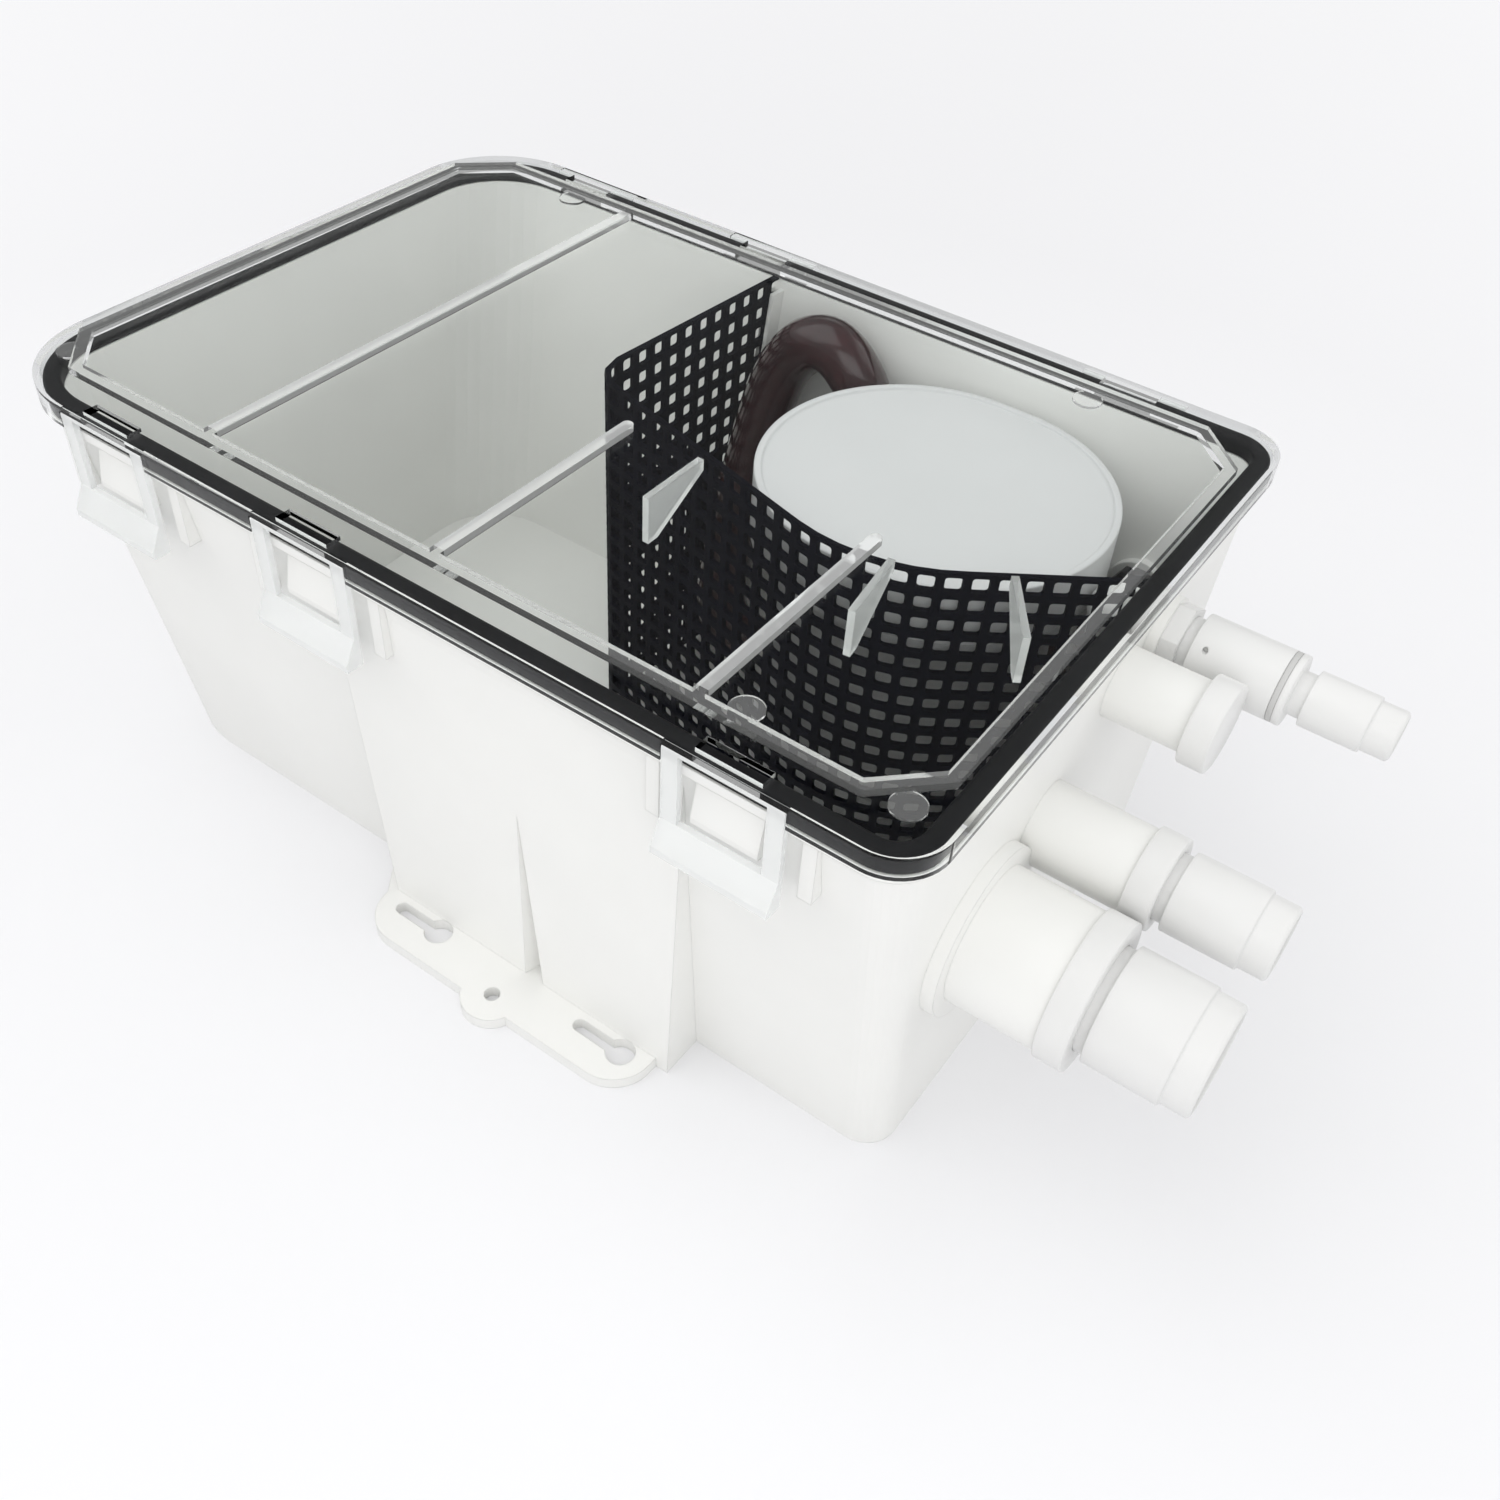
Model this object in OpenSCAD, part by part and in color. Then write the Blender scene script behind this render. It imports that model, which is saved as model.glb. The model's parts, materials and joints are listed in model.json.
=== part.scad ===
// Shower sump box with an automatic pump.
// The origin is at the middle of the tank's underside, x runs along the box towards its hose ports,
// y runs across it towards the far long side, and z is up.

/* [Tank] */
// Length of the tank under its rim
tank_len = 296.4; // [284:0.2:320]
// Width of the tank under its rim
tank_w = 199; // [195:0.5:215]
// Height of the tank's rim above the ground
tank_h = 135; // [133:0.5:150]
// How far each long side leans in on its way down
side_lean = 19; // [10:0.5:21]
// How far each end leans in on its way down
end_lean = 2; // [1:0.5:3]
// Thickness of the tank's walls
wall = 2.6; // [2.2:0.1:3.2]
// Thickness of the tank's floor
floor_t = 3; // [2.4:0.1:4]
// Corner radius at the plain end
plain_corner_r = 28; // [18:1:34]
// Corner radius at the end with the ports
port_corner_r = 10; // [7:1:16]
// Thickness of the outward lip under the gasket
lip_t = 3; // [2.4:0.1:4]

/* [Mounting feet] */
// Middle of the two feet along the box
foot_x = 28; // [20:1:32]
// Distance between the large ends of a foot's two keyholes
keyhole_pitch = 71.2; // [64:0.1:76]
// Distance of the keyholes out from the foot of a long side
keyhole_out = 18.7; // [18.5:0.1:21]
// Radius of a keyhole's large end
keyhole_r = 4.4; // [3.8:0.1:5]
// Width of a keyhole's slot
keyhole_slot = 4.2; // [3.4:0.1:5]
// Distance from the middle of a keyhole's large end to the end of its slot
keyhole_reach = 15; // [12:0.5:17]
// Distance of the plain screw hole out from the foot of a long side
foot_hole_out = 26; // [24:0.1:28]
// Radius of the plain screw hole
foot_hole_r = 2.4; // [1.8:0.1:3]
// Thickness of the feet
foot_t = 4; // [3:0.1:6]

/* [Lid] */
// Thickness of the clear lid
lid_t = 2; // [1.6:0.1:2.6]
// Thickness of the lid's skirt
skirt_t = 1.6; // [1.2:0.1:2]
// Depth of the lid's skirt
skirt_h = 7; // [6:0.1:8]
// Width of the raised ribs and of the raised ridge
ridge_w = 3.4; // [2.6:0.1:4.4]
// Height of the raised ribs and of the raised ridge
ridge_h = 2.2; // [1.4:0.1:3]
// Height of the gasket
gasket_h = 5; // [4:0.1:6]
// Width of the gasket
gasket_w = 5; // [4.2:0.1:5.6]

/* [Latches] */
// Width of a latch loop
loop_w = 33; // [28:0.5:36]
// Width of each leg of a loop
leg_w = 4.6; // [3.6:0.1:5.6]
// Thickness of a loop's legs
leg_t = 1.8; // [1.4:0.1:2.2]
// Length of a loop below its root
loop_h = 31; // [28:0.5:34]
// Height of the finger bar across the bottom of a loop
bar_h = 9; // [7:0.5:11]
// Width of the catch inside a loop
catch_w = 19; // [14:0.5:20]

/* [Strainer] */
// Thickness of the strainer mesh
mesh_t = 1.6; // [1.2:0.1:2]
// Width of the strips between the mesh's gaps
mesh_bar = 2.6; // [2:0.1:3.2]
// Rows of gaps in the mesh
mesh_rows = 11; // [9:1:11]
// Columns of gaps in the mesh
mesh_columns = 24; // [20:1:26]
// Radius of the mesh's tight corner
mesh_corner_r = 12; // [9:0.5:16]

/* [Ports] */
// Radius of the large inlet's hose spigot, for 32 mm hose
large_r = 16; // [14:0.1:18]
// Radius of the medium inlet's hose spigot, for 22 mm hose
medium_r = 11; // [9.5:0.1:12]
// Radius of the small inlet's capped nipple
small_r = 10.2; // [9:0.1:11]
// Radius of the outlet's hose spigot, for 16 mm hose
outlet_r = 7.8; // [7:0.1:8.2]
// How far the large inlet's axis lies under the rim
large_drop = 60; // [55:0.5:65]
// How far the medium inlet's axis lies under the rim
medium_drop = 48; // [43:0.5:51]
// How far the small inlet's axis lies under the rim
small_drop = 23; // [21:0.5:27]
// How far the outlet's axis lies under the rim
outlet_drop = 21; // [19:0.5:25]

/* [Pump] */
// Radius of the round ends of the pump's wide cap
cap_r = 49; // [46:0.5:50]
// How far the top of the pump's cap lies under the rim
cap_drop = 7; // [6:0.5:11]
// Radius of the impeller
impeller_r = 19.5; // [16:0.5:21]
// Travel of the float that switches the pump
float_travel = 20; // [14:1:24]
// Outside diameter of the discharge hose
hose_d = 18; // [17.4:0.1:18.2]
// Wall thickness of the discharge hose
hose_wall = 2; // [1.6:0.1:2.2]

/* [Hidden] */
$fn = 48;

// Overrun of every cut past the face that it opens
cut = 1;
// Thickness of the slabs that a leaning solid is drawn between
slab = 0.5;
// Gap between soft or loose neighbours
ease = 0.3;
// Radial gap of a running fit
run = 0.06;
// Gap of a flat running face
face_gap = 0.1;

// Levels of the rim, the gasket and the lid
gasket_z = tank_h;
lid_under = tank_h + gasket_h + ease;
lid_top = lid_under + lid_t;

// Widths that fit around one another: the lip carries the gasket, and the skirt goes round both
lip_over = 2.2;
lip_len = tank_len + 2 * lip_over;
lip_w = tank_w + 2 * lip_over;
skirt_gap = 0.5;
lid_len = lip_len + 2 * (skirt_gap + skirt_t);
lid_w = lip_w + 2 * (skirt_gap + skirt_t);
corner_grow = lip_over + skirt_gap + skirt_t;

// Places of the latches along the box, as shares of its length
latch_place_shares = [-0.348, -0.095, 0.348];
latch_places = tank_len * latch_place_shares;

// Latch sizes: the root bead turns in the skirt's notch
root_r = leg_t / 2;
latch_out_y = lid_w / 2 - leg_t / 2;
latch_z = lid_under - root_r - face_gap;
bar_lip = 3.6;
bar_lip_t = 2.2;
notch_w = loop_w + 2 * ease;
window_w = 18;
window_d = 4.6;
catch_gap = 0.2;
catch_nose = 2;
catch_top_drop = 8;
catch_under_gap = 0.8;
post_w = 4;
post_gap = 5;
post_h = 20;
post_proud = 1.2;

// Feet and the two raised panels above them
keyhole_y = tank_w / 2 - side_lean + keyhole_out;
foot_hole_y = tank_w / 2 - side_lean + foot_hole_out;
foot_edge = 11.3;
foot_out = keyhole_y + foot_edge;
foot_mid_r = 9.5;
foot_lobe_r = 13;
foot_lobe_reach = 39;
foot_slant = 14;
keyhole_shift = 7;
panel_x = foot_x + 3;
panel_half = 53;
panel_flare = 5;
panel_top_drop = 10;
panel_top_z = tank_h - panel_top_drop;
panel_proud = 14;
groove_x = 34;
groove_half = 5;
groove_deep = 10;
groove_tip = 0.4;
groove_top_share = 0.66;

// Places of the ports on their end
large_y_share = -0.266332;
large_y = tank_w * large_y_share;
medium_apart = 32.5;
small_apart = 34;
outlet_apart = 23.5;
medium_y = large_y + medium_apart;
small_y = medium_y + small_apart;
outlet_y = small_y + outlet_apart;
large_z = tank_h - large_drop;
medium_z = tank_h - medium_drop;
small_z = tank_h - small_drop;
outlet_z = tank_h - outlet_drop;

// Strainer path: along the far side, round a tight corner, then round the pump to the ports' end
body_r_share = 0.622449;
body_r = cap_r * body_r_share;
body_side_room = 35;
motor_back = 13;
motor_aside = 6;
cap_end_room = 25.2;
cap_x = tank_len / 2 - cap_r - cap_end_room;
cap_y = tank_w / 2 - body_side_room - body_r + motor_aside;
cap_half_gap = 4;
cap_left_x = cap_x - cap_half_gap - cap_r;
mesh_round_gap = 4.5;
mesh_round_r = cap_r + mesh_round_gap + mesh_t / 2;
leg_2_heading = -15;
leg_1_heading = -94.4;
mesh_corner_room = 36;
mesh_corner_x = cap_left_x - mesh_corner_room;
mesh_end_x = tank_len / 2;
mesh_outlet_gap = 10.5;
mesh_end_y = outlet_y - mesh_outlet_gap;
mesh_end_room = 3 * ease;
mesh_top_gap = 2.6;
mesh_h = lid_under - mesh_top_gap - floor_t - ease;
channel_t = 1.6;
channel_depth = 5;

n2 = [-sin(leg_2_heading), cos(leg_2_heading)];
mesh_corner_y = (n2[0] * (cap_x - mesh_corner_x) + n2[1] * cap_y - mesh_round_r + mesh_corner_r) / n2[1];
mesh_start_y = tank_w / 2;
leg_1_dir = [cos(leg_1_heading), sin(leg_1_heading)];
corner_in = [mesh_corner_x + mesh_corner_r * sin(leg_1_heading),
             mesh_corner_y - mesh_corner_r * cos(leg_1_heading)];
leg_1_len = (mesh_start_y - corner_in[1]) / -leg_1_dir[1];
leg_1_start = corner_in - leg_1_len * leg_1_dir;
corner_turn = leg_2_heading - leg_1_heading;
corner_len = mesh_corner_r * corner_turn * PI / 180;
corner_out = [mesh_corner_x + mesh_corner_r * sin(leg_2_heading),
              mesh_corner_y - mesh_corner_r * cos(leg_2_heading)];
round_in = [cap_x + mesh_round_r * sin(leg_2_heading), cap_y - mesh_round_r * cos(leg_2_heading)];
leg_2_len = norm(round_in - corner_out);
end_away = norm([mesh_end_x - cap_x, mesh_end_y - cap_y]);
end_bearing = atan2(mesh_end_y - cap_y, mesh_end_x - cap_x);
leg_3_heading = end_bearing + asin(mesh_round_r / end_away);
round_turn = leg_3_heading - leg_2_heading;
round_len = mesh_round_r * round_turn * PI / 180;
round_out = [cap_x + mesh_round_r * sin(leg_3_heading), cap_y - mesh_round_r * cos(leg_3_heading)];
leg_3_len = norm([mesh_end_x, mesh_end_y] - round_out);
s_1 = leg_1_len;
s_2 = s_1 + corner_len;
s_3 = s_2 + leg_2_len;
s_4 = s_3 + round_len;
mesh_len = s_4 + leg_3_len;

// Ports: nipples, spigots and their rings
wall_out_x = tank_len / 2;
nipple_len = 31;
nipple_end = wall_out_x + nipple_len;
port_wall = 2.4;
large_nipple_r = large_r + 3.4;
medium_nipple_r = medium_r + 0.8;
seat_over = 5;
seat_r = large_nipple_r + seat_over;
seat_t = 3;
seal_t = 1.6;
ring_over = 3;
ring_front = 5;
ring_t = 1.2;
neck_len = 2.6;
neck_in = 1.6;
spigot_len = 28;
outlet_spigot_len = 24;
tip_len = 7.6;
tip_in = 0.8;
cap_ring_len = 6;
cap_ring_t = 2.4;
cap_disc_t = 2;
small_len = 26;

// Outlet: an elbow inside, a check valve and a spigot outside
outlet_bore_r = outlet_r - port_wall;
elbow_in = 13.2;
elbow_x = tank_len / 2 - elbow_in;
elbow_drop = 24;
elbow_flange_r = 9.2;
elbow_flange_t = 2.5;
elbow_out = 11;
elbow_nut_t = 5;
elbow_nut_r = 11;
valve_len = 24;
valve_r = 10;
valve_wall = 1.6;
valve_start = wall_out_x + elbow_out;
flap_r = 6.6;
flap_t = 1.4;
flap_gap = 0.4;
flap_lug = 1.9;
flap_pin_r = 0.7;
flap_chamber = 15;

// Pump: the motor stands at one end of its oblong body, the float at the other
motor_x = cap_x - motor_back;
motor_y = cap_y - motor_aside;
body_span = 27;
body_wall = 4.5;
can_r = body_r - body_wall;
float_room_r = 12.4;
float_wall = 1.6;
float_x = motor_x + can_r + float_wall + float_room_r;
base_h = 12;
base_r_share = 0.734694;
base_r = cap_r * base_r_share;
base_t = 2.6;
base_slots = 20;
base_slot_w = 3;
base_slot_h = 5;
lug_turns = [60, 180, 300];
lug_reach = 6;
lug_r = 5;
lug_t = 3;
boss_h = 6;
boss_r = 4.4;
screw_r = 1.9;
screw_head_r = 3.6;
screw_head_h = 2.2;
plate_z = floor_t + base_h;
plate_t = 2.5;
eye_r = 12;
volute_z = plate_z + plate_t;
volute_h = 16;
volute_r_share = 0.673469;
volute_r = cap_r * volute_r_share;
volute_room_r = impeller_r + 3;
volute_room_h = 13.6;
barb_aside = 19;
barb_y = motor_y + barb_aside;
barb_z = volute_z + volute_room_h / 2;
hose_sides = 10;
barb_r = (hose_d / 2 - hose_wall) * cos(180 / hose_sides) - run;
barb_wall = 1.8;
barb_reach = 54;
barb_end = motor_x - barb_reach;
shaft_r = 2.5;
hub_r = 5.5;
back_plate_t = 1.8;
vane_h = 7;
vane_t = 1.4;
vane_count = 5;
vane_r_share = 0.62;
body_z = volute_z + volute_h;
body_floor = 3.8;
deck_t = 3;
cap_h = 18;
cap_top = tank_h - cap_drop;
deck_z = cap_top - cap_h - deck_t;
cap_plate_t = 3;
cap_wall = 2.6;
cap_rim_w = 2.2;
cap_rim_h = 0.9;
can_z = body_z + body_floor;
can_head_room = 7.7;
can_h = deck_z - can_z - can_head_room;
can_end = 6;
can_wall = 2;
bearing_r = 8;
bearing_h = 5;
magnet_lift = 1;
magnet_head_room = 11;
magnet_h = can_h - 2 * can_end - magnet_lift - magnet_head_room;
magnet_t = 6.5;
magnet_slot = 6;
armature_gap = 1;
armature_r = can_r - can_wall - magnet_t - armature_gap;
armature_lift = 3;
commutator_h = 6;
rotor_head_room = 1;
armature_h = can_h - 2 * can_end - 3 * armature_lift - commutator_h - rotor_head_room;
float_r = 10.6;
stem_r = 4;
stem_flange = 1.5;
stem_flange_t = 2;
stem_head_room = 9.7;
stem_h = deck_z - can_z - stem_head_room;
float_h_share = 0.283;
float_h = stem_h * float_h_share;
vent_r = 2.6;
cap_screw_r = 1.5;
cap_screw_head_h = 2.2;
cap_boss_r = 3.8;
cap_screw_in = 8;
cap_screw_reach = cap_r - cap_screw_in;
cap_screw_turns = [45, 135, 270];
cap_screw_len = 14;

// Hose route: off the pump's barb, over an arch beside the cap, behind the body and up to the elbow
barb_tip = [barb_end, barb_y, barb_z];
barb_route = [
    [17, 0, 0], [9, 0, 0], [4.5, 0, 0], [0, 0, 0], [-4.5, 0, 0], [-9.5, 0.4, 1.3], [-14, 1.6, 5], [-17, 4, 12]
];
arch_root = [cap_left_x, tank_w / 2];
arch_route = [
    [-32.3, -38], [-32.3, -30.5], [-31, -22.5], [-28, -18.5], [-21.5, -17], [-13, -16.5], [-4.5, -16.5],
    [2.5, -16], [6.5, -17.5], [9.5, -21.5], [17, -23.5], [31, -24], [51, -24], [71, -24], [89, -26]
];
arch_height_shares = [
    0.348, 0.533, 0.726, 0.84, 0.916, 0.946, 0.92,
    0.844, 0.719, 0.578, 0.489, 0.444, 0.43, 0.422, 0.422
];
hose_end_z = outlet_z - elbow_drop;
elbow_tip = [elbow_x, outlet_y, hose_end_z];
elbow_route = [
    [-11, 29, -31], [-3, 17.5, -26.5], [-0.2, 9, -20], [0, 3.2, -14], [0, 0.5, -9],
    [0, 0, -4.5], [0, 0, 0], [0, 0, 5], [0, 0, 14]
];
hose_route = concat(
    [for (point = barb_route) barb_tip + point],
    [for (i = [0 : len(arch_route) - 1])
        [arch_root[0] + arch_route[i][0], arch_root[1] + arch_route[i][1], tank_h * arch_height_shares[i]]],
    [for (point = elbow_route) elbow_tip + point]
);
hose_steps = 3;
clamp_w = 8;
clamp_t = 0.9;
clamp_box = [7, 5, 7];
clamp_in = 3;

// Cable gland high on the far side, for the pump's leads
gland_in = 24.2;
gland_drop = 51;
gland_x = tank_len / 2 - gland_in;
gland_z = tank_h - gland_drop;
gland_bore_r = 3.2;
gland_stem_r = 6;
gland_head_r = 8.4;
gland_head_t = 5;
gland_nut_t = 4;
gland_tail = 1;
gland_boss_r = 9.6;
gland_boss_out = 2;

// Colours, as they look on the real object
white_moulding = [0.93, 0.93, 0.92];
clear_moulding = [0.82, 0.86, 0.86, 0.45];
black_rubber = [0.06, 0.06, 0.07];
black_mesh = [0.05, 0.05, 0.08];
hose_brown = [0.14, 0.07, 0.07];
steel_grey = [0.62, 0.63, 0.65];
pump_white = [0.88, 0.89, 0.88];
dark_magnet = [0.25, 0.25, 0.27];

// Half width across the box, outside, at a height
function side_at(z) = tank_w / 2 - side_lean * (tank_h - z) / tank_h;
// Half length along the box, outside, at a height
function end_at(z) = tank_len / 2 - end_lean * (tank_h - z) / tank_h;

// Box outline in plan, larger or smaller all round by grow
module plan(l, w, grow) {
    a = l / 2 + grow;
    b = w / 2 + grow;
    p = plain_corner_r + grow;
    q = port_corner_r + grow;
    polygon([
        [-a + p, -b], [a - q, -b], [a, -b + q], [a, b - q],
        [a - q, b], [-a + p, b], [-a, b - p], [-a, -b + p]
    ]);
    for (side = [-1, 1]) {
        translate([-a + p, side * (b - p)]) circle(r = p);
        translate([a - q, side * (b - q)]) circle(r = q);
    }
}

// Closed solid with the tank's lean, from one height to another
module leaning_box(grow, z0, z1) {
    hull() {
        translate([0, 0, z0]) linear_extrude(slab)
            plan(2 * end_at(z0), 2 * side_at(z0), grow, $fn = 32);
        translate([0, 0, z1 - slab]) linear_extrude(slab)
            plan(2 * end_at(z1), 2 * side_at(z1), grow, $fn = 32);
    }
}

// Flat ring that follows the box outline
module plan_ring(outer_grow, inner_grow, z, h) {
    translate([0, 0, z]) linear_extrude(h) difference() {
        plan(tank_len, tank_w, outer_grow);
        plan(tank_len, tank_w, inner_grow);
    }
}

// Puts a child drawn for the near side at a place along the near or far side
module along_side(side, x) {
    translate([x, 0, 0]) mirror([0, side > 0 ? 1 : 0, 0]) children();
}

// Child's z axis is laid along x, from a point
module lay_x(x, y, z) {
    translate([x, y, z]) rotate([0, 90, 0]) children();
}

// Ring of round section along z
module tube(r_out, r_in, h) {
    difference() {
        cylinder(r = r_out, h = h);
        translate([0, 0, -cut]) cylinder(r = r_in, h = h + 2 * cut);
    }
}

// Foot plate, drawn for the near side, about its own middle
module foot_plate() {
    lobe_y = foot_out - foot_lobe_r;
    back_y = side_at(0) - wall;
    edge = foot_lobe_reach + foot_lobe_r;
    difference() {
        linear_extrude(foot_t) {
            for (end = [-1, 1]) {
                translate([end * foot_lobe_reach, -lobe_y]) circle(r = foot_lobe_r);
            }
            translate([-foot_lobe_reach, -foot_out]) square([2 * foot_lobe_reach, foot_out - back_y]);
            polygon([[-edge, -lobe_y], [edge, -lobe_y], [edge, -back_y], [-edge - foot_slant, -back_y]]);
            translate([0, -foot_hole_y]) circle(r = foot_mid_r);
        }
        for (end = [-1, 1]) {
            translate([end * keyhole_pitch / 2 + keyhole_shift, -keyhole_y, -cut]) keyhole();
        }
        translate([0, -foot_hole_y, -cut]) cylinder(r = foot_hole_r, h = foot_t + 2 * cut);
    }
}

// Keyhole cut, with its large end at the origin and its slot towards the plain end
module keyhole() {
    deep = foot_t + 2 * cut;
    cylinder(r = keyhole_r, h = deep);
    translate([-keyhole_reach, 0, 0]) cylinder(r = keyhole_slot / 2, h = deep);
    translate([-keyhole_reach, -keyhole_slot / 2, 0]) cube([keyhole_reach, keyhole_slot, deep]);
}

// Raised panel above a foot, with a V groove that deepens on its way down, drawn for the near side
module panel() {
    low_y = side_at(0) + panel_proud;
    high_y = side_at(panel_top_z);
    out_y = max(low_y, high_y) + cut;
    depth = panel_proud + wall / 2;
    difference() {
        hull() {
            translate([-panel_half, -low_y, 0]) cube([2 * panel_half, depth, slab]);
            translate([-panel_half - panel_flare, -high_y, panel_top_z])
                cube([2 * (panel_half + panel_flare), wall / 2, slab]);
        }
        hull() {
            translate([groove_x - panel_x, -out_y, foot_t]) linear_extrude(slab)
                polygon([[-groove_half, 0], [groove_half, 0], [0, out_y - low_y + groove_deep]]);
            translate([groove_x - panel_x, -out_y, groove_top_share * panel_top_z]) linear_extrude(slab)
                polygon([[-groove_tip, 0], [groove_tip, 0], [0, out_y - high_y + groove_tip]]);
        }
    }
}

// Wedge catch with a guard post on each side, drawn for the near side
module catch() {
    top = latch_z - catch_top_drop;
    bottom = latch_z - loop_h + bar_h + catch_under_gap;
    tip = latch_out_y - leg_t / 2 - catch_gap;
    root_z = tank_h - lip_t;
    low_z = root_z - post_h;
    post_y = side_at(root_z) + post_proud;
    rotate([90, 0, -90]) translate([0, 0, -catch_w / 2]) linear_extrude(catch_w)
        polygon([[side_at(top) - wall / 2, top], [tank_w / 2, top], [tip, bottom + catch_nose],
                 [tip, bottom], [side_at(bottom) - wall / 2, bottom]]);
    for (end = [-1, 1]) {
        translate([end * (loop_w / 2 + post_gap) - post_w / 2, -post_y, low_z])
            cube([post_w, post_y - side_at(low_z) + wall / 2, post_h + wall / 2]);
    }
}

// Rib of the channel that holds the strainer against the far side, beside the strainer's line
module side_channel(beside_line) {
    z0 = floor_t - slab;
    z1 = tank_h - lip_t;
    lean = cos(leg_1_heading + 90);
    out_0 = (side_at(z0) - wall / 2 - leg_1_start[1]) / lean;
    out_1 = (side_at(z1) - wall / 2 - leg_1_start[1]) / lean;
    in = wall / 2 + channel_depth;
    translate([leg_1_start[0], leg_1_start[1], 0]) rotate([0, 0, leg_1_heading + 90])
        rotate([90, 0, 90]) translate([0, 0, beside_line - channel_t / 2]) linear_extrude(channel_t)
            polygon([[out_0, z0], [out_1, z1], [out_1 - in, z1], [out_0 - in, z0]]);
}

// Rib of the channel that holds the strainer against the ports' end, beside the strainer's line
module end_channel(beside_line) {
    z0 = floor_t - slab;
    z1 = tank_h - lip_t;
    lean = cos(leg_3_heading);
    aside = beside_line * sin(leg_3_heading);
    out_0 = (end_at(z0) - wall / 2 - mesh_end_x + aside) / lean;
    out_1 = (end_at(z1) - wall / 2 - mesh_end_x + aside) / lean;
    in = wall / 2 + channel_depth;
    translate([mesh_end_x, mesh_end_y, 0]) rotate([0, 0, leg_3_heading])
        rotate([90, 0, 0]) translate([0, 0, -beside_line - channel_t / 2]) linear_extrude(channel_t)
            polygon([[out_0, z0], [out_1, z1], [out_1 - in, z1], [out_0 - in, z0]]);
}

// Places of the three screws round the pump's base
module at_base_lugs() {
    for (turn = lug_turns) {
        translate([motor_x, motor_y, 0]) rotate([0, 0, turn])
            translate([base_r + lug_reach, 0, 0]) children();
    }
}

// Nipple moulded on the ports' end
module nipple(y, z, r, length) {
    lay_x(end_at(z) - wall / 2, y, z) cylinder(r = r, h = wall_out_x + length - end_at(z) + wall / 2);
}

// Bore through a nipple and the end wall
module port_bore(y, z, r, length) {
    lay_x(end_at(z) - wall - cut, y, z) cylinder(r = r, h = wall + length + 2 * (cut + end_lean));
}

// Places of the cable gland, whose axis points out of the far side
module at_gland(y) {
    translate([gland_x, y, gland_z]) rotate([-90, 0, 0]) children();
}
gland_face_y = side_at(gland_z) + gland_boss_out;
gland_nut_y = side_at(gland_z - gland_head_r) - wall - face_gap;

module tank() {
    beside_line = mesh_t / 2 + ease + channel_t / 2;
    gland_deep = gland_face_y - gland_nut_y;
    color(white_moulding) difference() {
        union() {
            difference() {
                union() {
                    leaning_box(0, 0, tank_h);
                    plan_ring(lip_over, -wall / 2, tank_h - lip_t, lip_t);
                    for (side = [-1, 1]) {
                        along_side(side, foot_x) foot_plate();
                        along_side(side, panel_x) panel();
                        for (x = latch_places) {
                            along_side(side, x) catch();
                        }
                    }
                    nipple(large_y, large_z, large_nipple_r, nipple_len);
                    nipple(large_y, large_z, seat_r, seat_t);
                    nipple(medium_y, medium_z, medium_nipple_r, nipple_len);
                    nipple(small_y, small_z, small_r, small_len);
                    nipple(outlet_y, outlet_z, elbow_nut_r, seat_t);
                }
                leaning_box(-wall, floor_t, tank_h + slab);
            }
            for (side = [-1, 1]) {
                side_channel(side * beside_line);
                end_channel(side * beside_line);
            }
            at_base_lugs() translate([0, 0, floor_t - slab]) cylinder(r = boss_r, h = boss_h + slab);
            at_gland(gland_nut_y) cylinder(r = gland_boss_r, h = gland_deep);
        }
        port_bore(large_y, large_z, large_nipple_r - port_wall, nipple_len);
        port_bore(medium_y, medium_z, medium_nipple_r - port_wall, nipple_len);
        port_bore(small_y, small_z, small_r - port_wall, small_len);
        port_bore(outlet_y, outlet_z, outlet_r + run, seat_t);
        at_base_lugs() translate([0, 0, floor_t]) cylinder(r = screw_r + run, h = boss_h + cut);
        at_gland(gland_nut_y - cut) cylinder(r = gland_stem_r + run, h = gland_deep + 2 * cut);
    }
}

module gasket() {
    color(black_rubber)
        plan_ring(lip_over, lip_over - gasket_w, gasket_z, gasket_h);
}

// Rectangle with cut corners
module cut_plate(l, w, chamfer) {
    polygon([
        [-l / 2 + chamfer, -w / 2], [l / 2 - chamfer, -w / 2], [l / 2, -w / 2 + chamfer],
        [l / 2, w / 2 - chamfer], [l / 2 - chamfer, w / 2], [-l / 2 + chamfer, w / 2],
        [-l / 2, w / 2 - chamfer], [-l / 2, -w / 2 + chamfer]
    ]);
}

// Raised rib across the lid with one round end
module lid_rib(x, y0, y1) {
    translate([x, 0, lid_top - slab]) linear_extrude(ridge_h + slab) {
        translate([-ridge_w / 2, y0]) square([ridge_w, y1 - y0]);
        translate([0, y1]) circle(r = ridge_w / 2);
    }
}

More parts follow.
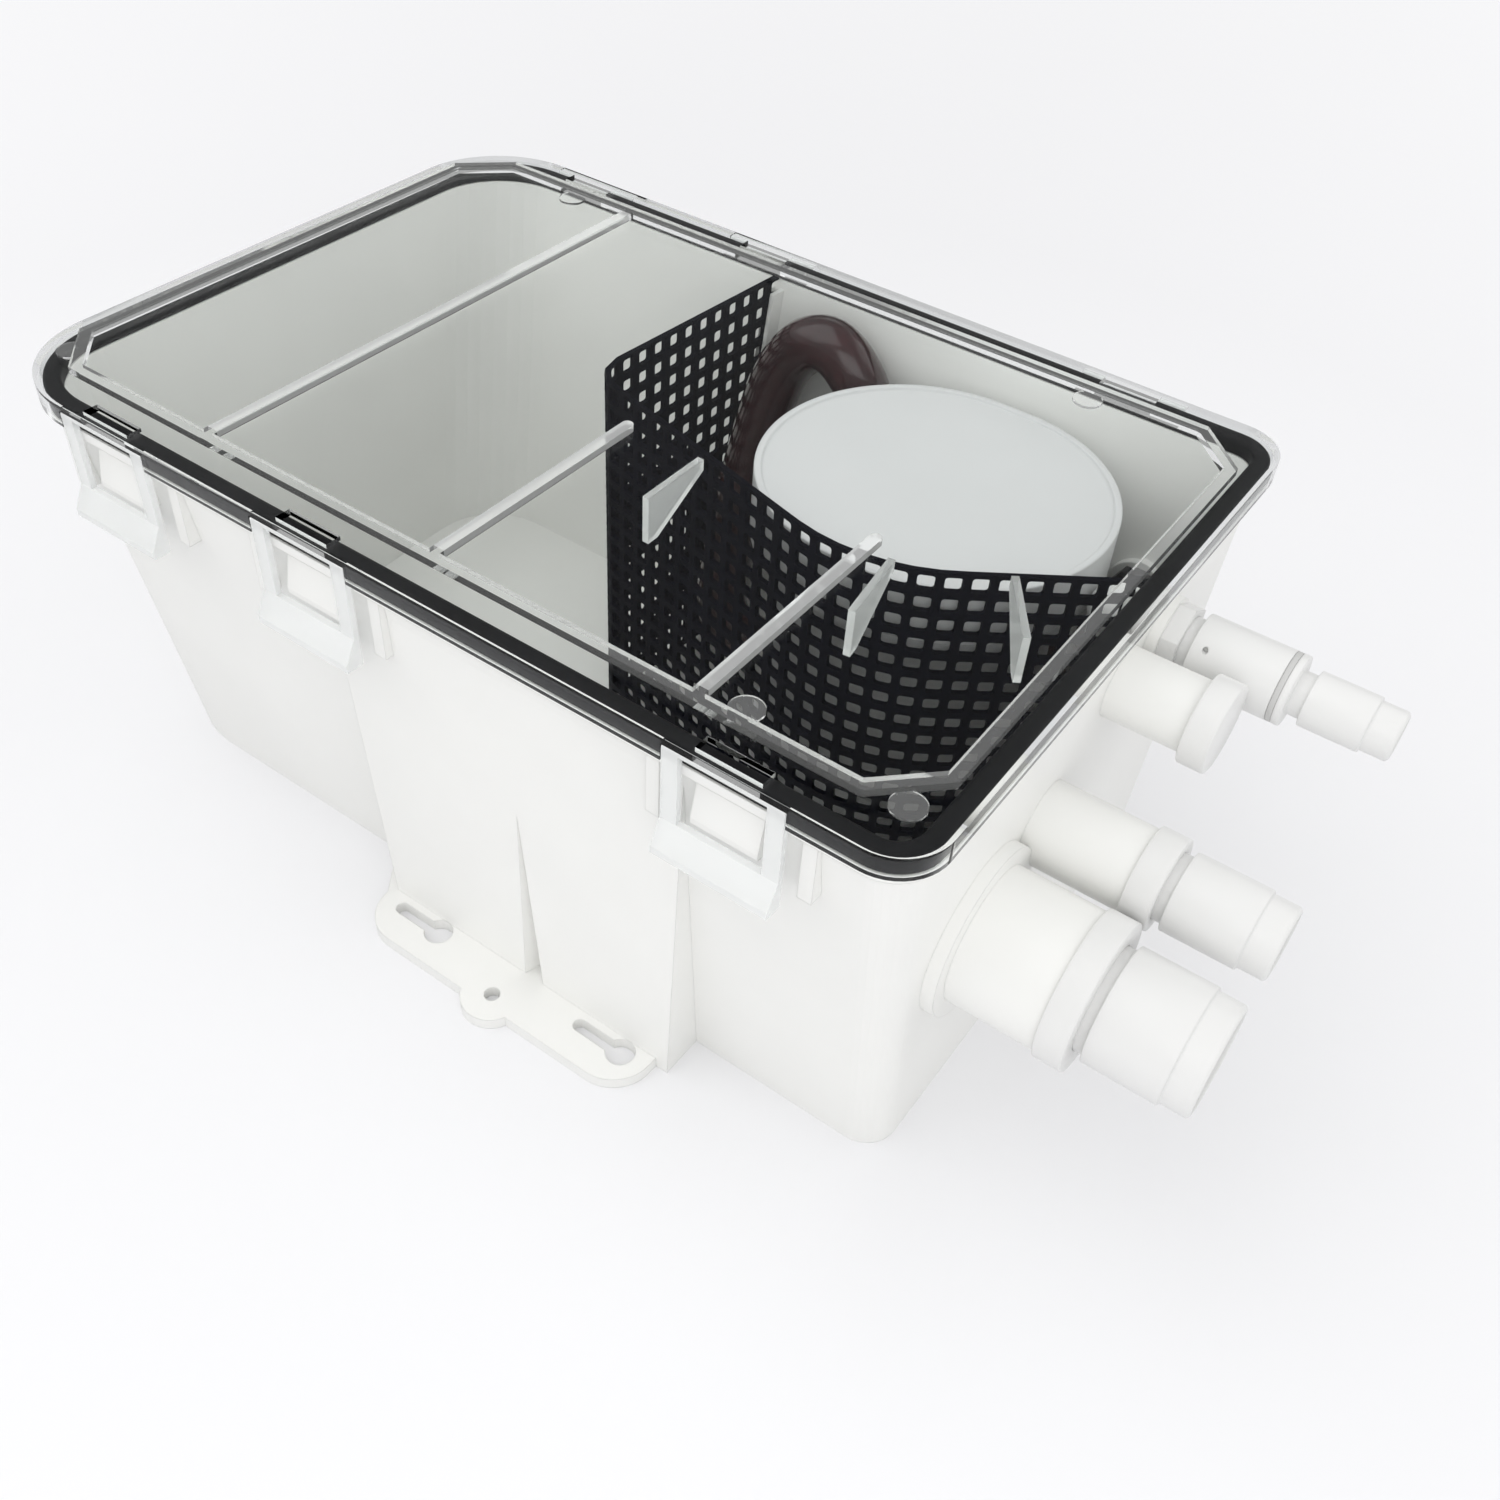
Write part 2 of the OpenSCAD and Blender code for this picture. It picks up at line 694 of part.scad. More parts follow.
// Flat fin under the lid, drawn along y from its deep near end to its shallow far end
module lid_fin(place) {
    translate([place[0], place[1], lid_under + slab]) rotate([0, 0, place[2]]) rotate([90, 0, 90])
        translate([0, 0, -fin_t / 2]) linear_extrude(fin_t)
            polygon([[-fin_len, 0], [0, 0], [0, -fin_root], [-fin_len + fin_root, -fin_depth],
                     [-fin_len, -fin_depth]]);
}
fin_t = 2;
fin_len = 24;
fin_depth = 15;
fin_root = 4;
fin_station_shares = [0.6, 0.635, 0.239];
fin_stations = [s_2 + leg_2_len * fin_station_shares[0], s_3 + round_len * fin_station_shares[1],
                s_4 + leg_3_len * fin_station_shares[2]];
fin_outs = [6.2, 3.3, 5.2];
fin_turns = [0, 8, 35];
fin_places = [for (i = [0 : 2]) concat(beside(fin_stations[i], -fin_outs[i]), [fin_turns[i]])];
ridge_in_x = 7;
ridge_in_y = 12;
ridge_len = lid_len - 2 * ridge_in_x;
ridge_across = lid_w - 2 * ridge_in_y;
ridge_chamfer = 15;
long_rib_x_share = -0.26;
short_rib_back = 16.2;
short_rib_on = 11.2;
short_rib_places = [cap_left_x - short_rib_back, cap_x + short_rib_on];
rib_end_room = 54;
rib_end_y = cap_y - rib_end_room;
pad_place_shares = [[0.324, -0.427], [0.472, -0.442], [-0.472, -0.422], [0.324, 0.427], [-0.337, 0.432]];
pad_r = 4.4;
pad_h = 0.7;

module lid() {
    rib_y = ridge_across / 2 - ridge_w / 2;
    color(clear_moulding) difference() {
        union() {
            translate([0, 0, lid_under]) linear_extrude(lid_t)
                plan(tank_len, tank_w, corner_grow);
            plan_ring(corner_grow, corner_grow - skirt_t, lid_top - skirt_h, skirt_h);
            translate([0, 0, lid_top - slab]) linear_extrude(ridge_h + slab) difference() {
                cut_plate(ridge_len, ridge_across, ridge_chamfer);
                cut_plate(ridge_len - 2 * ridge_w, ridge_across - 2 * ridge_w,
                          ridge_chamfer - ridge_w / 2);
            }
            lid_rib(tank_len * long_rib_x_share, -rib_y, rib_y);
            for (x = short_rib_places) {
                lid_rib(x, -rib_y, rib_end_y);
            }
            for (place = fin_places) {
                lid_fin(place);
            }
            for (share = pad_place_shares) {
                translate([tank_len * share[0], tank_w * share[1], lid_top - slab])
                    cylinder(r = pad_r, h = pad_h + slab);
            }
        }
        for (side = [-1, 1], x = latch_places) {
            along_side(side, x) latch_notch();
        }
    }
}

// Notch in the skirt for a latch, with the window above its catch, drawn for the near side
module latch_notch() {
    low = lid_top - skirt_h - cut;
    translate([-notch_w / 2, -latch_out_y - leg_t / 2 - cut, low])
        cube([notch_w, leg_t + skirt_gap + ease + cut, lid_under - low]);
    translate([-window_w / 2, -latch_out_y + leg_t / 2 + skirt_gap, lid_under - cut])
        cube([window_w, window_d, lid_t + 2 * cut]);
}

// Latch loop, drawn for the near side: root bead, two legs and a finger bar
module latch() {
    color(clear_moulding) translate([0, -latch_out_y, latch_z]) {
        translate([-loop_w / 2, 0, 0]) rotate([0, 90, 0]) cylinder(r = root_r, h = loop_w);
        for (end = [-1, 1]) {
            translate([end * (loop_w - leg_w) / 2 - leg_w / 2, -leg_t / 2, -loop_h])
                cube([leg_w, leg_t, loop_h]);
        }
        rotate([90, 0, -90]) translate([0, 0, -loop_w / 2]) linear_extrude(loop_w)
            polygon([[-leg_t / 2, -loop_h], [-leg_t / 2, -loop_h + bar_h], [leg_t / 2, -loop_h + bar_h],
                     [leg_t / 2 + bar_lip, -loop_h + bar_lip_t], [leg_t / 2 + bar_lip, -loop_h]]);
    }
}

// Point and heading on the strainer's path at a distance from its far end
function path_at(s) =
    s < s_1 ? [leg_1_start + s * leg_1_dir, leg_1_heading] :
    s < s_2 ? arc_at([mesh_corner_x, mesh_corner_y], mesh_corner_r,
                     leg_1_heading + corner_turn * (s - s_1) / corner_len) :
    s < s_3 ? [corner_out + (s - s_2) * [cos(leg_2_heading), sin(leg_2_heading)], leg_2_heading] :
    s < s_4 ? arc_at([cap_x, cap_y], mesh_round_r,
                     leg_2_heading + round_turn * (s - s_3) / round_len) :
    [round_out + (s - s_4) * [cos(leg_3_heading), sin(leg_3_heading)], leg_3_heading];
function arc_at(centre, r, heading) =
    [centre + r * [sin(heading), -cos(heading)], heading];
// Point beside the path
function beside(s, off) =
    let (at = path_at(s)) at[0] + off * [-sin(at[1]), cos(at[1])];

// Strip of the mesh through a list of distances along its path
module strip(stations) {
    last = len(stations) - 1;
    polygon(concat(
        [for (i = [0 : last]) beside(stations[i], -mesh_t / 2)],
        [for (i = [last : -1 : 0]) beside(stations[i], mesh_t / 2)]
    ));
}

module strainer() {
    row = (mesh_h - mesh_bar) / mesh_rows;
    column = (mesh_len - mesh_bar) / mesh_columns;
    gap = column - mesh_bar;
    stations = concat(
        [for (i = [0 : mesh_columns - 1], along = [0, mesh_bar, mesh_bar + gap / 2]) i * column + along],
        [mesh_len - mesh_bar, mesh_len]
    );
    color(black_mesh) intersection() {
        translate([0, 0, floor_t + ease]) {
            for (i = [0 : mesh_rows]) {
                translate([0, 0, i * row]) linear_extrude(mesh_bar) strip(stations);
            }
            linear_extrude(mesh_h) {
                for (i = [0 : mesh_columns]) {
                    strip([i * column, i * column + mesh_bar]);
                }
            }
        }
        leaning_box(-wall - mesh_end_room, floor_t, tank_h + gasket_h);
    }
}

// Hose spigot: a flange inside the ring, a narrow neck and the plain stretch that the hose grips
module spigot(y, z, r, start, flange_r, grip_len) {
    bore = r - port_wall;
    neck = ring_front - seal_t;
    flange = neck - ring_t - face_gap;
    grip = neck + neck_len;
    lay_x(start + seal_t, y, z) rotate_extrude() polygon([
        [bore, 0], [flange_r, 0], [flange_r, flange], [r - neck_in, flange], [r - neck_in, grip],
        [r, grip], [r, grip + grip_len - tip_len], [r - tip_in, grip + grip_len - tip_len],
        [r - tip_in, grip + grip_len - tip_in], [r - 2 * tip_in, grip + grip_len],
        [bore, grip + grip_len]
    ]);
}

// Ring that clamps a spigot's flange on a nipple
module union_ring(y, z, nipple_r, neck_r, start) {
    length = ring_over + ring_front;
    lay_x(start - ring_over, y, z) rotate_extrude() polygon([
        [nipple_r + run, 0], [nipple_r + ring_t, 0], [nipple_r + ring_t, length], [neck_r + run, length],
        [neck_r + run, length - ring_t], [nipple_r + run, length - ring_t]
    ]);
}

module large_inlet_spigot() {
    color(white_moulding)
        spigot(large_y, large_z, large_r, nipple_end, large_nipple_r - run, spigot_len);
}

module large_inlet_ring() {
    color(white_moulding)
        union_ring(large_y, large_z, large_nipple_r, large_r - neck_in, nipple_end);
}

module large_inlet_seal() {
    color(black_rubber) lay_x(nipple_end, large_y, large_z)
        tube(large_nipple_r - run, large_r - port_wall, seal_t);
}

module medium_inlet_spigot() {
    color(white_moulding)
        spigot(medium_y, medium_z, medium_r, nipple_end, medium_nipple_r - run, spigot_len);
}

module medium_inlet_ring() {
    color(white_moulding)
        union_ring(medium_y, medium_z, medium_nipple_r, medium_r - neck_in, nipple_end);
}

module medium_inlet_seal() {
    color(black_rubber) lay_x(nipple_end, medium_y, medium_z)
        tube(medium_nipple_r - run, medium_r - port_wall, seal_t);
}

module small_inlet_cap() {
    start = wall_out_x + small_len - cap_ring_len + cap_disc_t;
    color(white_moulding) lay_x(start, small_y, small_z) difference() {
        cylinder(r = small_r + cap_ring_t, h = cap_ring_len + seal_t);
        translate([0, 0, -cut])
            cylinder(r = small_r + run, h = cap_ring_len + seal_t - cap_disc_t + cut);
    }
}

module small_inlet_seal() {
    color(black_rubber) lay_x(wall_out_x + small_len, small_y, small_z)
        tube(small_r - run, small_r - port_wall, seal_t - face_gap);
}

module outlet_elbow() {
    out = wall_out_x + elbow_out - elbow_x;
    color(white_moulding) difference() {
        union() {
            lay_x(elbow_x, outlet_y, outlet_z) cylinder(r = outlet_r, h = out);
            translate([elbow_x, outlet_y, outlet_z]) sphere(r = outlet_r);
            translate([elbow_x, outlet_y, hose_end_z]) cylinder(r = barb_r, h = elbow_drop);
            lay_x(end_at(outlet_z) - wall - elbow_flange_t - ease, outlet_y, outlet_z)
                cylinder(r = elbow_flange_r, h = elbow_flange_t);
        }
        lay_x(elbow_x, outlet_y, outlet_z) cylinder(r = outlet_bore_r, h = out + cut);
        translate([elbow_x, outlet_y, outlet_z]) sphere(r = barb_r - barb_wall);
        translate([elbow_x, outlet_y, hose_end_z - cut])
            cylinder(r = barb_r - barb_wall, h = elbow_drop + cut);
    }
}

module outlet_elbow_nut() {
    color(white_moulding) lay_x(wall_out_x + seat_t, outlet_y, outlet_z) difference() {
        cylinder(r = elbow_nut_r, h = elbow_nut_t, $fn = 6);
        translate([0, 0, -cut]) cylinder(r = outlet_r + run, h = elbow_nut_t + 2 * cut);
    }
}

// Valve body: a wider chamber where the flap swings
module outlet_valve_body() {
    color(white_moulding) difference() {
        lay_x(valve_start, outlet_y, outlet_z) rotate_extrude() polygon([
            [outlet_bore_r, 0], [valve_r, 0], [valve_r, valve_len], [outlet_bore_r, valve_len],
            [outlet_bore_r, flap_chamber + valve_wall], [valve_r - valve_wall, flap_chamber],
            [valve_r - valve_wall, valve_wall], [outlet_bore_r, valve_wall]
        ]);
        translate([flap_hinge_x, outlet_y - valve_r - cut, flap_hinge_z]) rotate([-90, 0, 0])
            cylinder(r = flap_pin_r + run, h = 2 * (valve_r + cut));
    }
}
flap_hinge_x = valve_start + valve_wall + flap_gap + flap_lug;
flap_hinge_z = outlet_z + valve_r - valve_wall - flap_lug - ease;
flap_pin_half = sqrt(pow(valve_r, 2) - pow(flap_hinge_z - outlet_z + flap_pin_r, 2));

module check_flap() {
    color(black_rubber) difference() {
        union() {
            lay_x(valve_start + valve_wall + flap_gap, outlet_y, outlet_z)
                cylinder(r = flap_r, h = flap_t);
            translate([flap_hinge_x, outlet_y - flap_lug, flap_hinge_z]) rotate([-90, 0, 0])
                cylinder(r = flap_lug, h = 2 * flap_lug);
            translate([valve_start + valve_wall + flap_gap, outlet_y - flap_lug, flap_hinge_z - 2 * flap_lug])
                cube([flap_t, 2 * flap_lug, 2 * flap_lug]);
        }
        translate([flap_hinge_x, outlet_y - flap_lug - cut, flap_hinge_z]) rotate([-90, 0, 0])
            cylinder(r = flap_pin_r + run, h = 2 * (flap_lug + cut));
    }
}

module check_flap_pin() {
    color(steel_grey) translate([flap_hinge_x, outlet_y - flap_pin_half, flap_hinge_z])
        rotate([-90, 0, 0]) cylinder(r = flap_pin_r, h = 2 * flap_pin_half);
}

module outlet_spigot() {
    color(white_moulding)
        spigot(outlet_y, outlet_z, outlet_r, valve_start + valve_len, valve_r, outlet_spigot_len);
}

module outlet_seal() {
    color(black_rubber) lay_x(valve_start + valve_len, outlet_y, outlet_z)
        tube(valve_r - run, outlet_bore_r, seal_t);
}

// Pump base: a slotted wall on three screwed lugs
module pump_base() {
    color(black_mesh) difference() {
        union() {
            translate([motor_x, motor_y, floor_t]) tube(base_r, base_r - base_t, base_h);
            at_base_lugs() translate([0, 0, floor_t + boss_h]) cylinder(r = lug_r, h = lug_t);
            at_base_lugs() translate([-lug_reach - base_t, -lug_r, floor_t + boss_h])
                cube([lug_reach + base_t, 2 * lug_r, lug_t]);
        }
        for (i = [0 : base_slots - 1]) {
            translate([motor_x, motor_y, floor_t - cut]) rotate([0, 0, i * 360 / base_slots])
                translate([base_r - base_t - cut, -base_slot_w / 2, 0])
                    cube([base_t + 2 * cut, base_slot_w, base_slot_h + cut]);
        }
        at_base_lugs() translate([0, 0, floor_t]) cylinder(r = screw_r + run, h = base_h);
    }
}

module pump_base_screws() {
    color(steel_grey) at_base_lugs() {
        translate([0, 0, floor_t + face_gap]) cylinder(r = screw_r, h = boss_h + lug_t);
        translate([0, 0, floor_t + boss_h + lug_t]) cylinder(r = screw_head_r, h = screw_head_h);
    }
}

module suction_plate() {
    color(pump_white) translate([motor_x, motor_y, plate_z]) difference() {
        cylinder(r = base_r, h = plate_t);
        translate([0, 0, -cut]) cylinder(r = eye_r, h = plate_t + 2 * cut);
    }
}

module volute() {
    color(pump_white) difference() {
        union() {
            translate([motor_x, motor_y, volute_z]) cylinder(r = volute_r, h = volute_h);
            translate([barb_end, barb_y, barb_z]) rotate([0, 90, 0])
                cylinder(r = barb_r, h = motor_x - barb_end);
        }
        translate([motor_x, motor_y, volute_z - cut])
            cylinder(r = volute_room_r, h = volute_room_h + cut);
        translate([motor_x, motor_y, volute_z]) cylinder(r = shaft_r + 2 * face_gap, h = volute_h + cut);
        translate([barb_end - cut, barb_y, barb_z]) rotate([0, 90, 0])
            cylinder(r = barb_r - barb_wall, h = motor_x - barb_end + cut);
    }
}

// Impeller with curved vanes on a back plate
module impeller() {
    top = volute_z + volute_room_h - 2 * face_gap;
    vane_r = impeller_r * vane_r_share;
    low = top - back_plate_t - vane_h;
    color(black_mesh) translate([motor_x, motor_y, 0]) difference() {
        union() {
            translate([0, 0, top - back_plate_t]) cylinder(r = impeller_r, h = back_plate_t);
            translate([0, 0, low]) cylinder(r = hub_r, h = back_plate_t + vane_h);
            translate([0, 0, low]) linear_extrude(vane_h + back_plate_t / 2) intersection() {
                circle(r = impeller_r);
                for (i = [0 : vane_count - 1]) {
                    rotate(i * 360 / vane_count) translate([0, vane_r]) difference() {
                        circle(r = vane_r);
                        circle(r = vane_r - vane_t);
                        translate([-2 * vane_r, -2 * vane_r]) square([2 * vane_r, 4 * vane_r]);
                    }
                }
            }
        }
        translate([0, 0, volute_z - cut]) cylinder(r = shaft_r + run / 2, h = volute_h);
    }
}

module rotor() {
    low = volute_z + volute_room_h - vane_h;
    high = can_z + can_h - face_gap;
    color(steel_grey) translate([motor_x, motor_y, 0]) {
        translate([0, 0, low]) cylinder(r = shaft_r, h = high - low);
        translate([0, 0, can_z + can_end + armature_lift]) cylinder(r = armature_r, h = armature_h);
        translate([0, 0, can_z + can_end + 2 * armature_lift + armature_h])
            cylinder(r = armature_r / 2, h = commutator_h);
    }
}

module bearings() {
    color(steel_grey) for (z = [can_z + face_gap, can_z + can_h - bearing_h - face_gap]) {
        translate([motor_x, motor_y, z]) tube(bearing_r, shaft_r + run / 2, bearing_h);
    }
}

module motor_magnets() {
    color(dark_magnet) translate([motor_x, motor_y, can_z + can_end + magnet_lift]) difference() {
        tube(can_r - can_wall - run, can_r - can_wall - magnet_t, magnet_h);
        for (turn = [0, 90]) {
            rotate([0, 0, turn]) translate([-can_r, -magnet_slot / 2, -cut])
                cube([2 * can_r, magnet_slot, magnet_h + 2 * cut]);
        }
    }
}

module motor_can() {
    color(steel_grey) translate([motor_x, motor_y, can_z]) difference() {
        cylinder(r = can_r, h = can_h);
        translate([0, 0, can_end]) cylinder(r = can_r - can_wall, h = can_h - 2 * can_end);
        translate([0, 0, -cut]) cylinder(r = bearing_r + run / 2, h = can_h + 2 * cut);
    }
}

module shaft_seal() {
    color(black_rubber) translate([motor_x, motor_y, body_z])
        tube(bearing_r - run, shaft_r + run / 2, body_floor - face_gap);
}

// Oblong outline with round ends, drawn about the body's middle
module oblong(r, span) {
    for (end = [-1, 1]) {
        translate([end * span / 2, 0]) circle(r = r);
    }
    translate([-span / 2, -r]) square([span, 2 * r]);
}

module pump_body() {
    middle = motor_x + body_span / 2;
    color(pump_white) difference() {
        union() {
            translate([middle, motor_y, body_z]) linear_extrude(deck_z - body_z + deck_t)
                oblong(body_r, body_span);
            translate([cap_x, cap_y, deck_z]) linear_extrude(deck_t) oblong(cap_r, 2 * cap_half_gap);
        }
        translate([motor_x, motor_y, body_z + body_floor])
            cylinder(r = can_r + run, h = deck_z + deck_t - body_z);
        translate([float_x, motor_y, body_z + body_floor])
            cylinder(r = float_room_r, h = deck_z + deck_t - body_z);
        translate([motor_x, motor_y, body_z - cut]) cylinder(r = bearing_r, h = body_floor + 2 * cut);
        translate([float_x, motor_y - float_r + vent_r, body_z - cut])
            cylinder(r = vent_r, h = body_floor + 2 * cut);
        at_cap_screws() translate([0, 0, deck_z - cut])
            cylinder(r = cap_screw_r + run, h = deck_t + 2 * cut);
    }
}

// Places of the screws that hold the cap from below
module at_cap_screws() {
    for (turn = cap_screw_turns) {
        translate([cap_x, cap_y, 0]) rotate([0, 0, turn])
            translate([cap_screw_reach, 0, 0]) children();
    }
}

module float_stem() {
    color(pump_white) translate([float_x, motor_y, body_z + body_floor]) {
        cylinder(r = stem_r, h = stem_h);
        translate([0, 0, stem_h]) cylinder(r = stem_r + stem_flange, h = stem_flange_t);
        cylinder(r = stem_r + stem_flange, h = stem_flange_t);
    }
}

module switch_float() {
    color(black_mesh) translate([float_x, motor_y, body_z + body_floor + stem_flange_t + face_gap])
        tube(float_r, stem_r + ease, float_h);
}

module pump_cap() {
    z0 = deck_z + deck_t;
    color(pump_white) difference() {
        union() {
            translate([cap_x, cap_y, z0]) difference() {
                linear_extrude(cap_h) oblong(cap_r, 2 * cap_half_gap);
                translate([0, 0, -cut]) linear_extrude(cap_h - cap_plate_t + cut)
                    oblong(cap_r - cap_wall, 2 * cap_half_gap);
                translate([0, 0, cap_h - cap_rim_h]) linear_extrude(cap_rim_h + cut)
                    oblong(cap_r - cap_rim_w, 2 * cap_half_gap);
            }
            at_cap_screws() translate([0, 0, z0]) cylinder(r = cap_boss_r, h = cap_h - cap_plate_t + slab);
        }
        at_cap_screws() translate([0, 0, z0 - cut])
            cylinder(r = cap_screw_r + run, h = cap_screw_len - deck_t + cut + face_gap);
    }
}

module pump_cap_screws() {
    color(steel_grey) at_cap_screws() {
        translate([0, 0, deck_z - cap_screw_head_h])
            cylinder(r = 2 * cap_screw_r, h = cap_screw_head_h);
        translate([0, 0, deck_z - slab]) cylinder(r = cap_screw_r, h = cap_screw_len);
    }
}

// Smooth curve through the hose's route
function spline(a, b, c, d, t) =
    0.5 * (2 * b + (c - a) * t + (2 * a - 5 * b + 4 * c - d) * t * t
           + (3 * b - a - 3 * c + d) * t * t * t);
route_last = len(hose_route) - 1;
hose_line = concat(
    [for (i = [0 : route_last - 1], k = [0 : hose_steps - 1])
        spline(hose_route[max(i - 1, 0)], hose_route[i], hose_route[i + 1],
               hose_route[min(i + 2, route_last)], k / hose_steps)],
    [hose_route[route_last]]
);
line_last = len(hose_line) - 1;
function unit(v) = v / norm(v);
function tangent(i) = unit(hose_line[min(i + 1, line_last)] - hose_line[max(i - 1, 0)]);
// Side vectors carried along the hose without twist
hose_sideways = [for (i = 0, u = [0, 0, 1]; i <= line_last;
                      i = i + 1, u = unit(u - (u * tangent(min(i, line_last))) * tangent(min(i, line_last))))
                     unit(u - (u * tangent(i)) * tangent(i))];
function hose_ring(i, r) =
    let (t = tangent(i), u = hose_sideways[i], v = cross(t, u))
    [for (k = [0 : hose_sides - 1])
        hose_line[i] + r * (cos(k * 360 / hose_sides) * u + sin(k * 360 / hose_sides) * v)];

module discharge_hose() {
    n = hose_sides;
    rings = line_last + 1;
    inside = n * rings;
    outer = [for (i = [0 : line_last]) each hose_ring(i, hose_d / 2)];
    inner = [for (i = [0 : line_last]) each hose_ring(i, hose_d / 2 - hose_wall)];
    last = n * line_last;
    skin = [for (i = [0 : line_last - 1], k = [0 : n - 1])
        let (a = i * n + k, b = i * n + (k + 1) % n) each [[a, b + n, b], [a, a + n, b + n]]];
    bore = [for (i = [0 : line_last - 1], k = [0 : n - 1])
        let (a = inside + i * n + k, b = inside + i * n + (k + 1) % n)
            each [[a, b, b + n], [a, b + n, a + n]]];
    near_end = [for (k = [0 : n - 1]) let (a = k, b = (k + 1) % n)
        each [[a, b, inside + b], [a, inside + b, inside + a]]];
    far_end = [for (k = [0 : n - 1]) let (a = last + k, b = last + (k + 1) % n)
        each [[a, inside + b, b], [a, inside + a, inside + b]]];
    color(hose_brown) polyhedron(concat(outer, inner), concat(skin, bore, near_end, far_end));
}

// Worm clamp round the hose, along x, with its screw housing on top
module hose_clamp() {
    r = hose_d / 2 + run;
    tube(r + clamp_t, r, clamp_w);
    difference() {
        translate([r - clamp_t, -clamp_box[1] / 2, (clamp_w - clamp_box[2]) / 2]) cube(clamp_box);
        translate([0, 0, -cut]) cylinder(r = r + run, h = clamp_w + 2 * cut);
    }
}

module pump_hose_clamp() {
    color(steel_grey) translate([hose_route[0][0] - clamp_in - clamp_w, barb_y, barb_z])
        rotate([0, 90, 0]) rotate([0, 0, 180]) hose_clamp();
}

module outlet_hose_clamp() {
    color(steel_grey) translate([elbow_x, outlet_y, hose_end_z + clamp_in])
        rotate([0, 0, 90]) hose_clamp();
}

module cable_gland() {
    stem = gland_face_y - gland_nut_y + gland_nut_t + gland_tail;
    color(black_mesh) at_gland(gland_face_y) difference() {
        union() {
            cylinder(r = gland_head_r, h = gland_head_t);
            translate([0, 0, -stem]) cylinder(r = gland_stem_r, h = stem + slab);
        }
        translate([0, 0, -stem - cut]) cylinder(r = gland_bore_r, h = stem + gland_head_t + 2 * cut);
    }
}

module cable_gland_nut() {
    color(black_mesh) at_gland(gland_nut_y - gland_nut_t) difference() {
        cylinder(r = gland_head_r, h = gland_nut_t, $fn = 6);
        translate([0, 0, -cut]) cylinder(r = gland_stem_r + run, h = gland_nut_t + 2 * cut);
    }
}

tank();
gasket();
lid();
along_side(-1, latch_places[0]) latch();  // latch_near_plain
along_side(-1, latch_places[1]) latch();  // latch_near_middle
along_side(-1, latch_places[2]) latch();  // latch_near_port
along_side(1, latch_places[0]) latch();  // latch_far_plain
along_side(1, latch_places[1]) latch();  // latch_far_middle
along_side(1, latch_places[2]) latch();  // latch_far_port
strainer();
large_inlet_spigot();
large_inlet_ring();
large_inlet_seal();
medium_inlet_spigot();
medium_inlet_ring();
medium_inlet_seal();
small_inlet_cap();
small_inlet_seal();
outlet_elbow();
outlet_elbow_nut();
outlet_valve_body();
outlet_spigot();
outlet_seal();
check_flap();
check_flap_pin();
pump_base();
pump_base_screws();
suction_plate();
volute();
impeller();
rotor();
bearings();
motor_magnets();
motor_can();
shaft_seal();
pump_body();
float_stem();
switch_float();
pump_cap();
pump_cap_screws();
discharge_hose();
pump_hose_clamp();
outlet_hose_clamp();
cable_gland();
cable_gland_nut();
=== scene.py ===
"""Looks of a shower sump box: finishes, fine strainer mesh, hose, rolled edges and studio."""
import json
import math

import bpy
from mathutils import Matrix, Vector

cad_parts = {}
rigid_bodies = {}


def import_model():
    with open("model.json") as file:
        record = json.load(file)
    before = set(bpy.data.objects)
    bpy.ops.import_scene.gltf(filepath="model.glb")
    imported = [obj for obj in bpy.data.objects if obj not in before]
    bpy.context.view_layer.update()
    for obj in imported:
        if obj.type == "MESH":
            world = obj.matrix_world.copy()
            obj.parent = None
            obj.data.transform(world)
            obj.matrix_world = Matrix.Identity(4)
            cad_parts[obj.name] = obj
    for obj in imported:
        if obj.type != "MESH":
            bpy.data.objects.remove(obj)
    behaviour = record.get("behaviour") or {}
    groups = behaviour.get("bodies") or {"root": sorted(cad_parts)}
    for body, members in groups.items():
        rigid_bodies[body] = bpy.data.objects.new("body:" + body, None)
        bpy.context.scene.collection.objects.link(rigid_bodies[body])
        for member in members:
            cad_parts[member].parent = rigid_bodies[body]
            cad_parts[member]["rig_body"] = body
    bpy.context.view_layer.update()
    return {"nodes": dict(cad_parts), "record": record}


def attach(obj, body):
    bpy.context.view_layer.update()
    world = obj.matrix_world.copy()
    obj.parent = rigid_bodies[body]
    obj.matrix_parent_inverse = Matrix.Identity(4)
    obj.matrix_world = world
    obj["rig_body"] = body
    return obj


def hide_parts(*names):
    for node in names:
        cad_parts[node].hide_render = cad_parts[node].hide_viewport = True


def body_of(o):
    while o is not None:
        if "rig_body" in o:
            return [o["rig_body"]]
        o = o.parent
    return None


bl_info = {
    "name": "Shower sump box",
    "version": (1, 0, 0),
    "blender": (4, 5, 0),
    "location": "3D View > Sidebar > Sump box",
    "description": "Dresses the sump box's solids with its finishes, strainer, hose and studio",
    "category": "Object",
}

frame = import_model()
NODES = frame["nodes"]
SLOTS = {entry["node"]: entry["material_slot"] for entry in frame["record"]["subparts"]}
MM = 0.001


# ---------------------------------------------------------------- sizes and colours to set

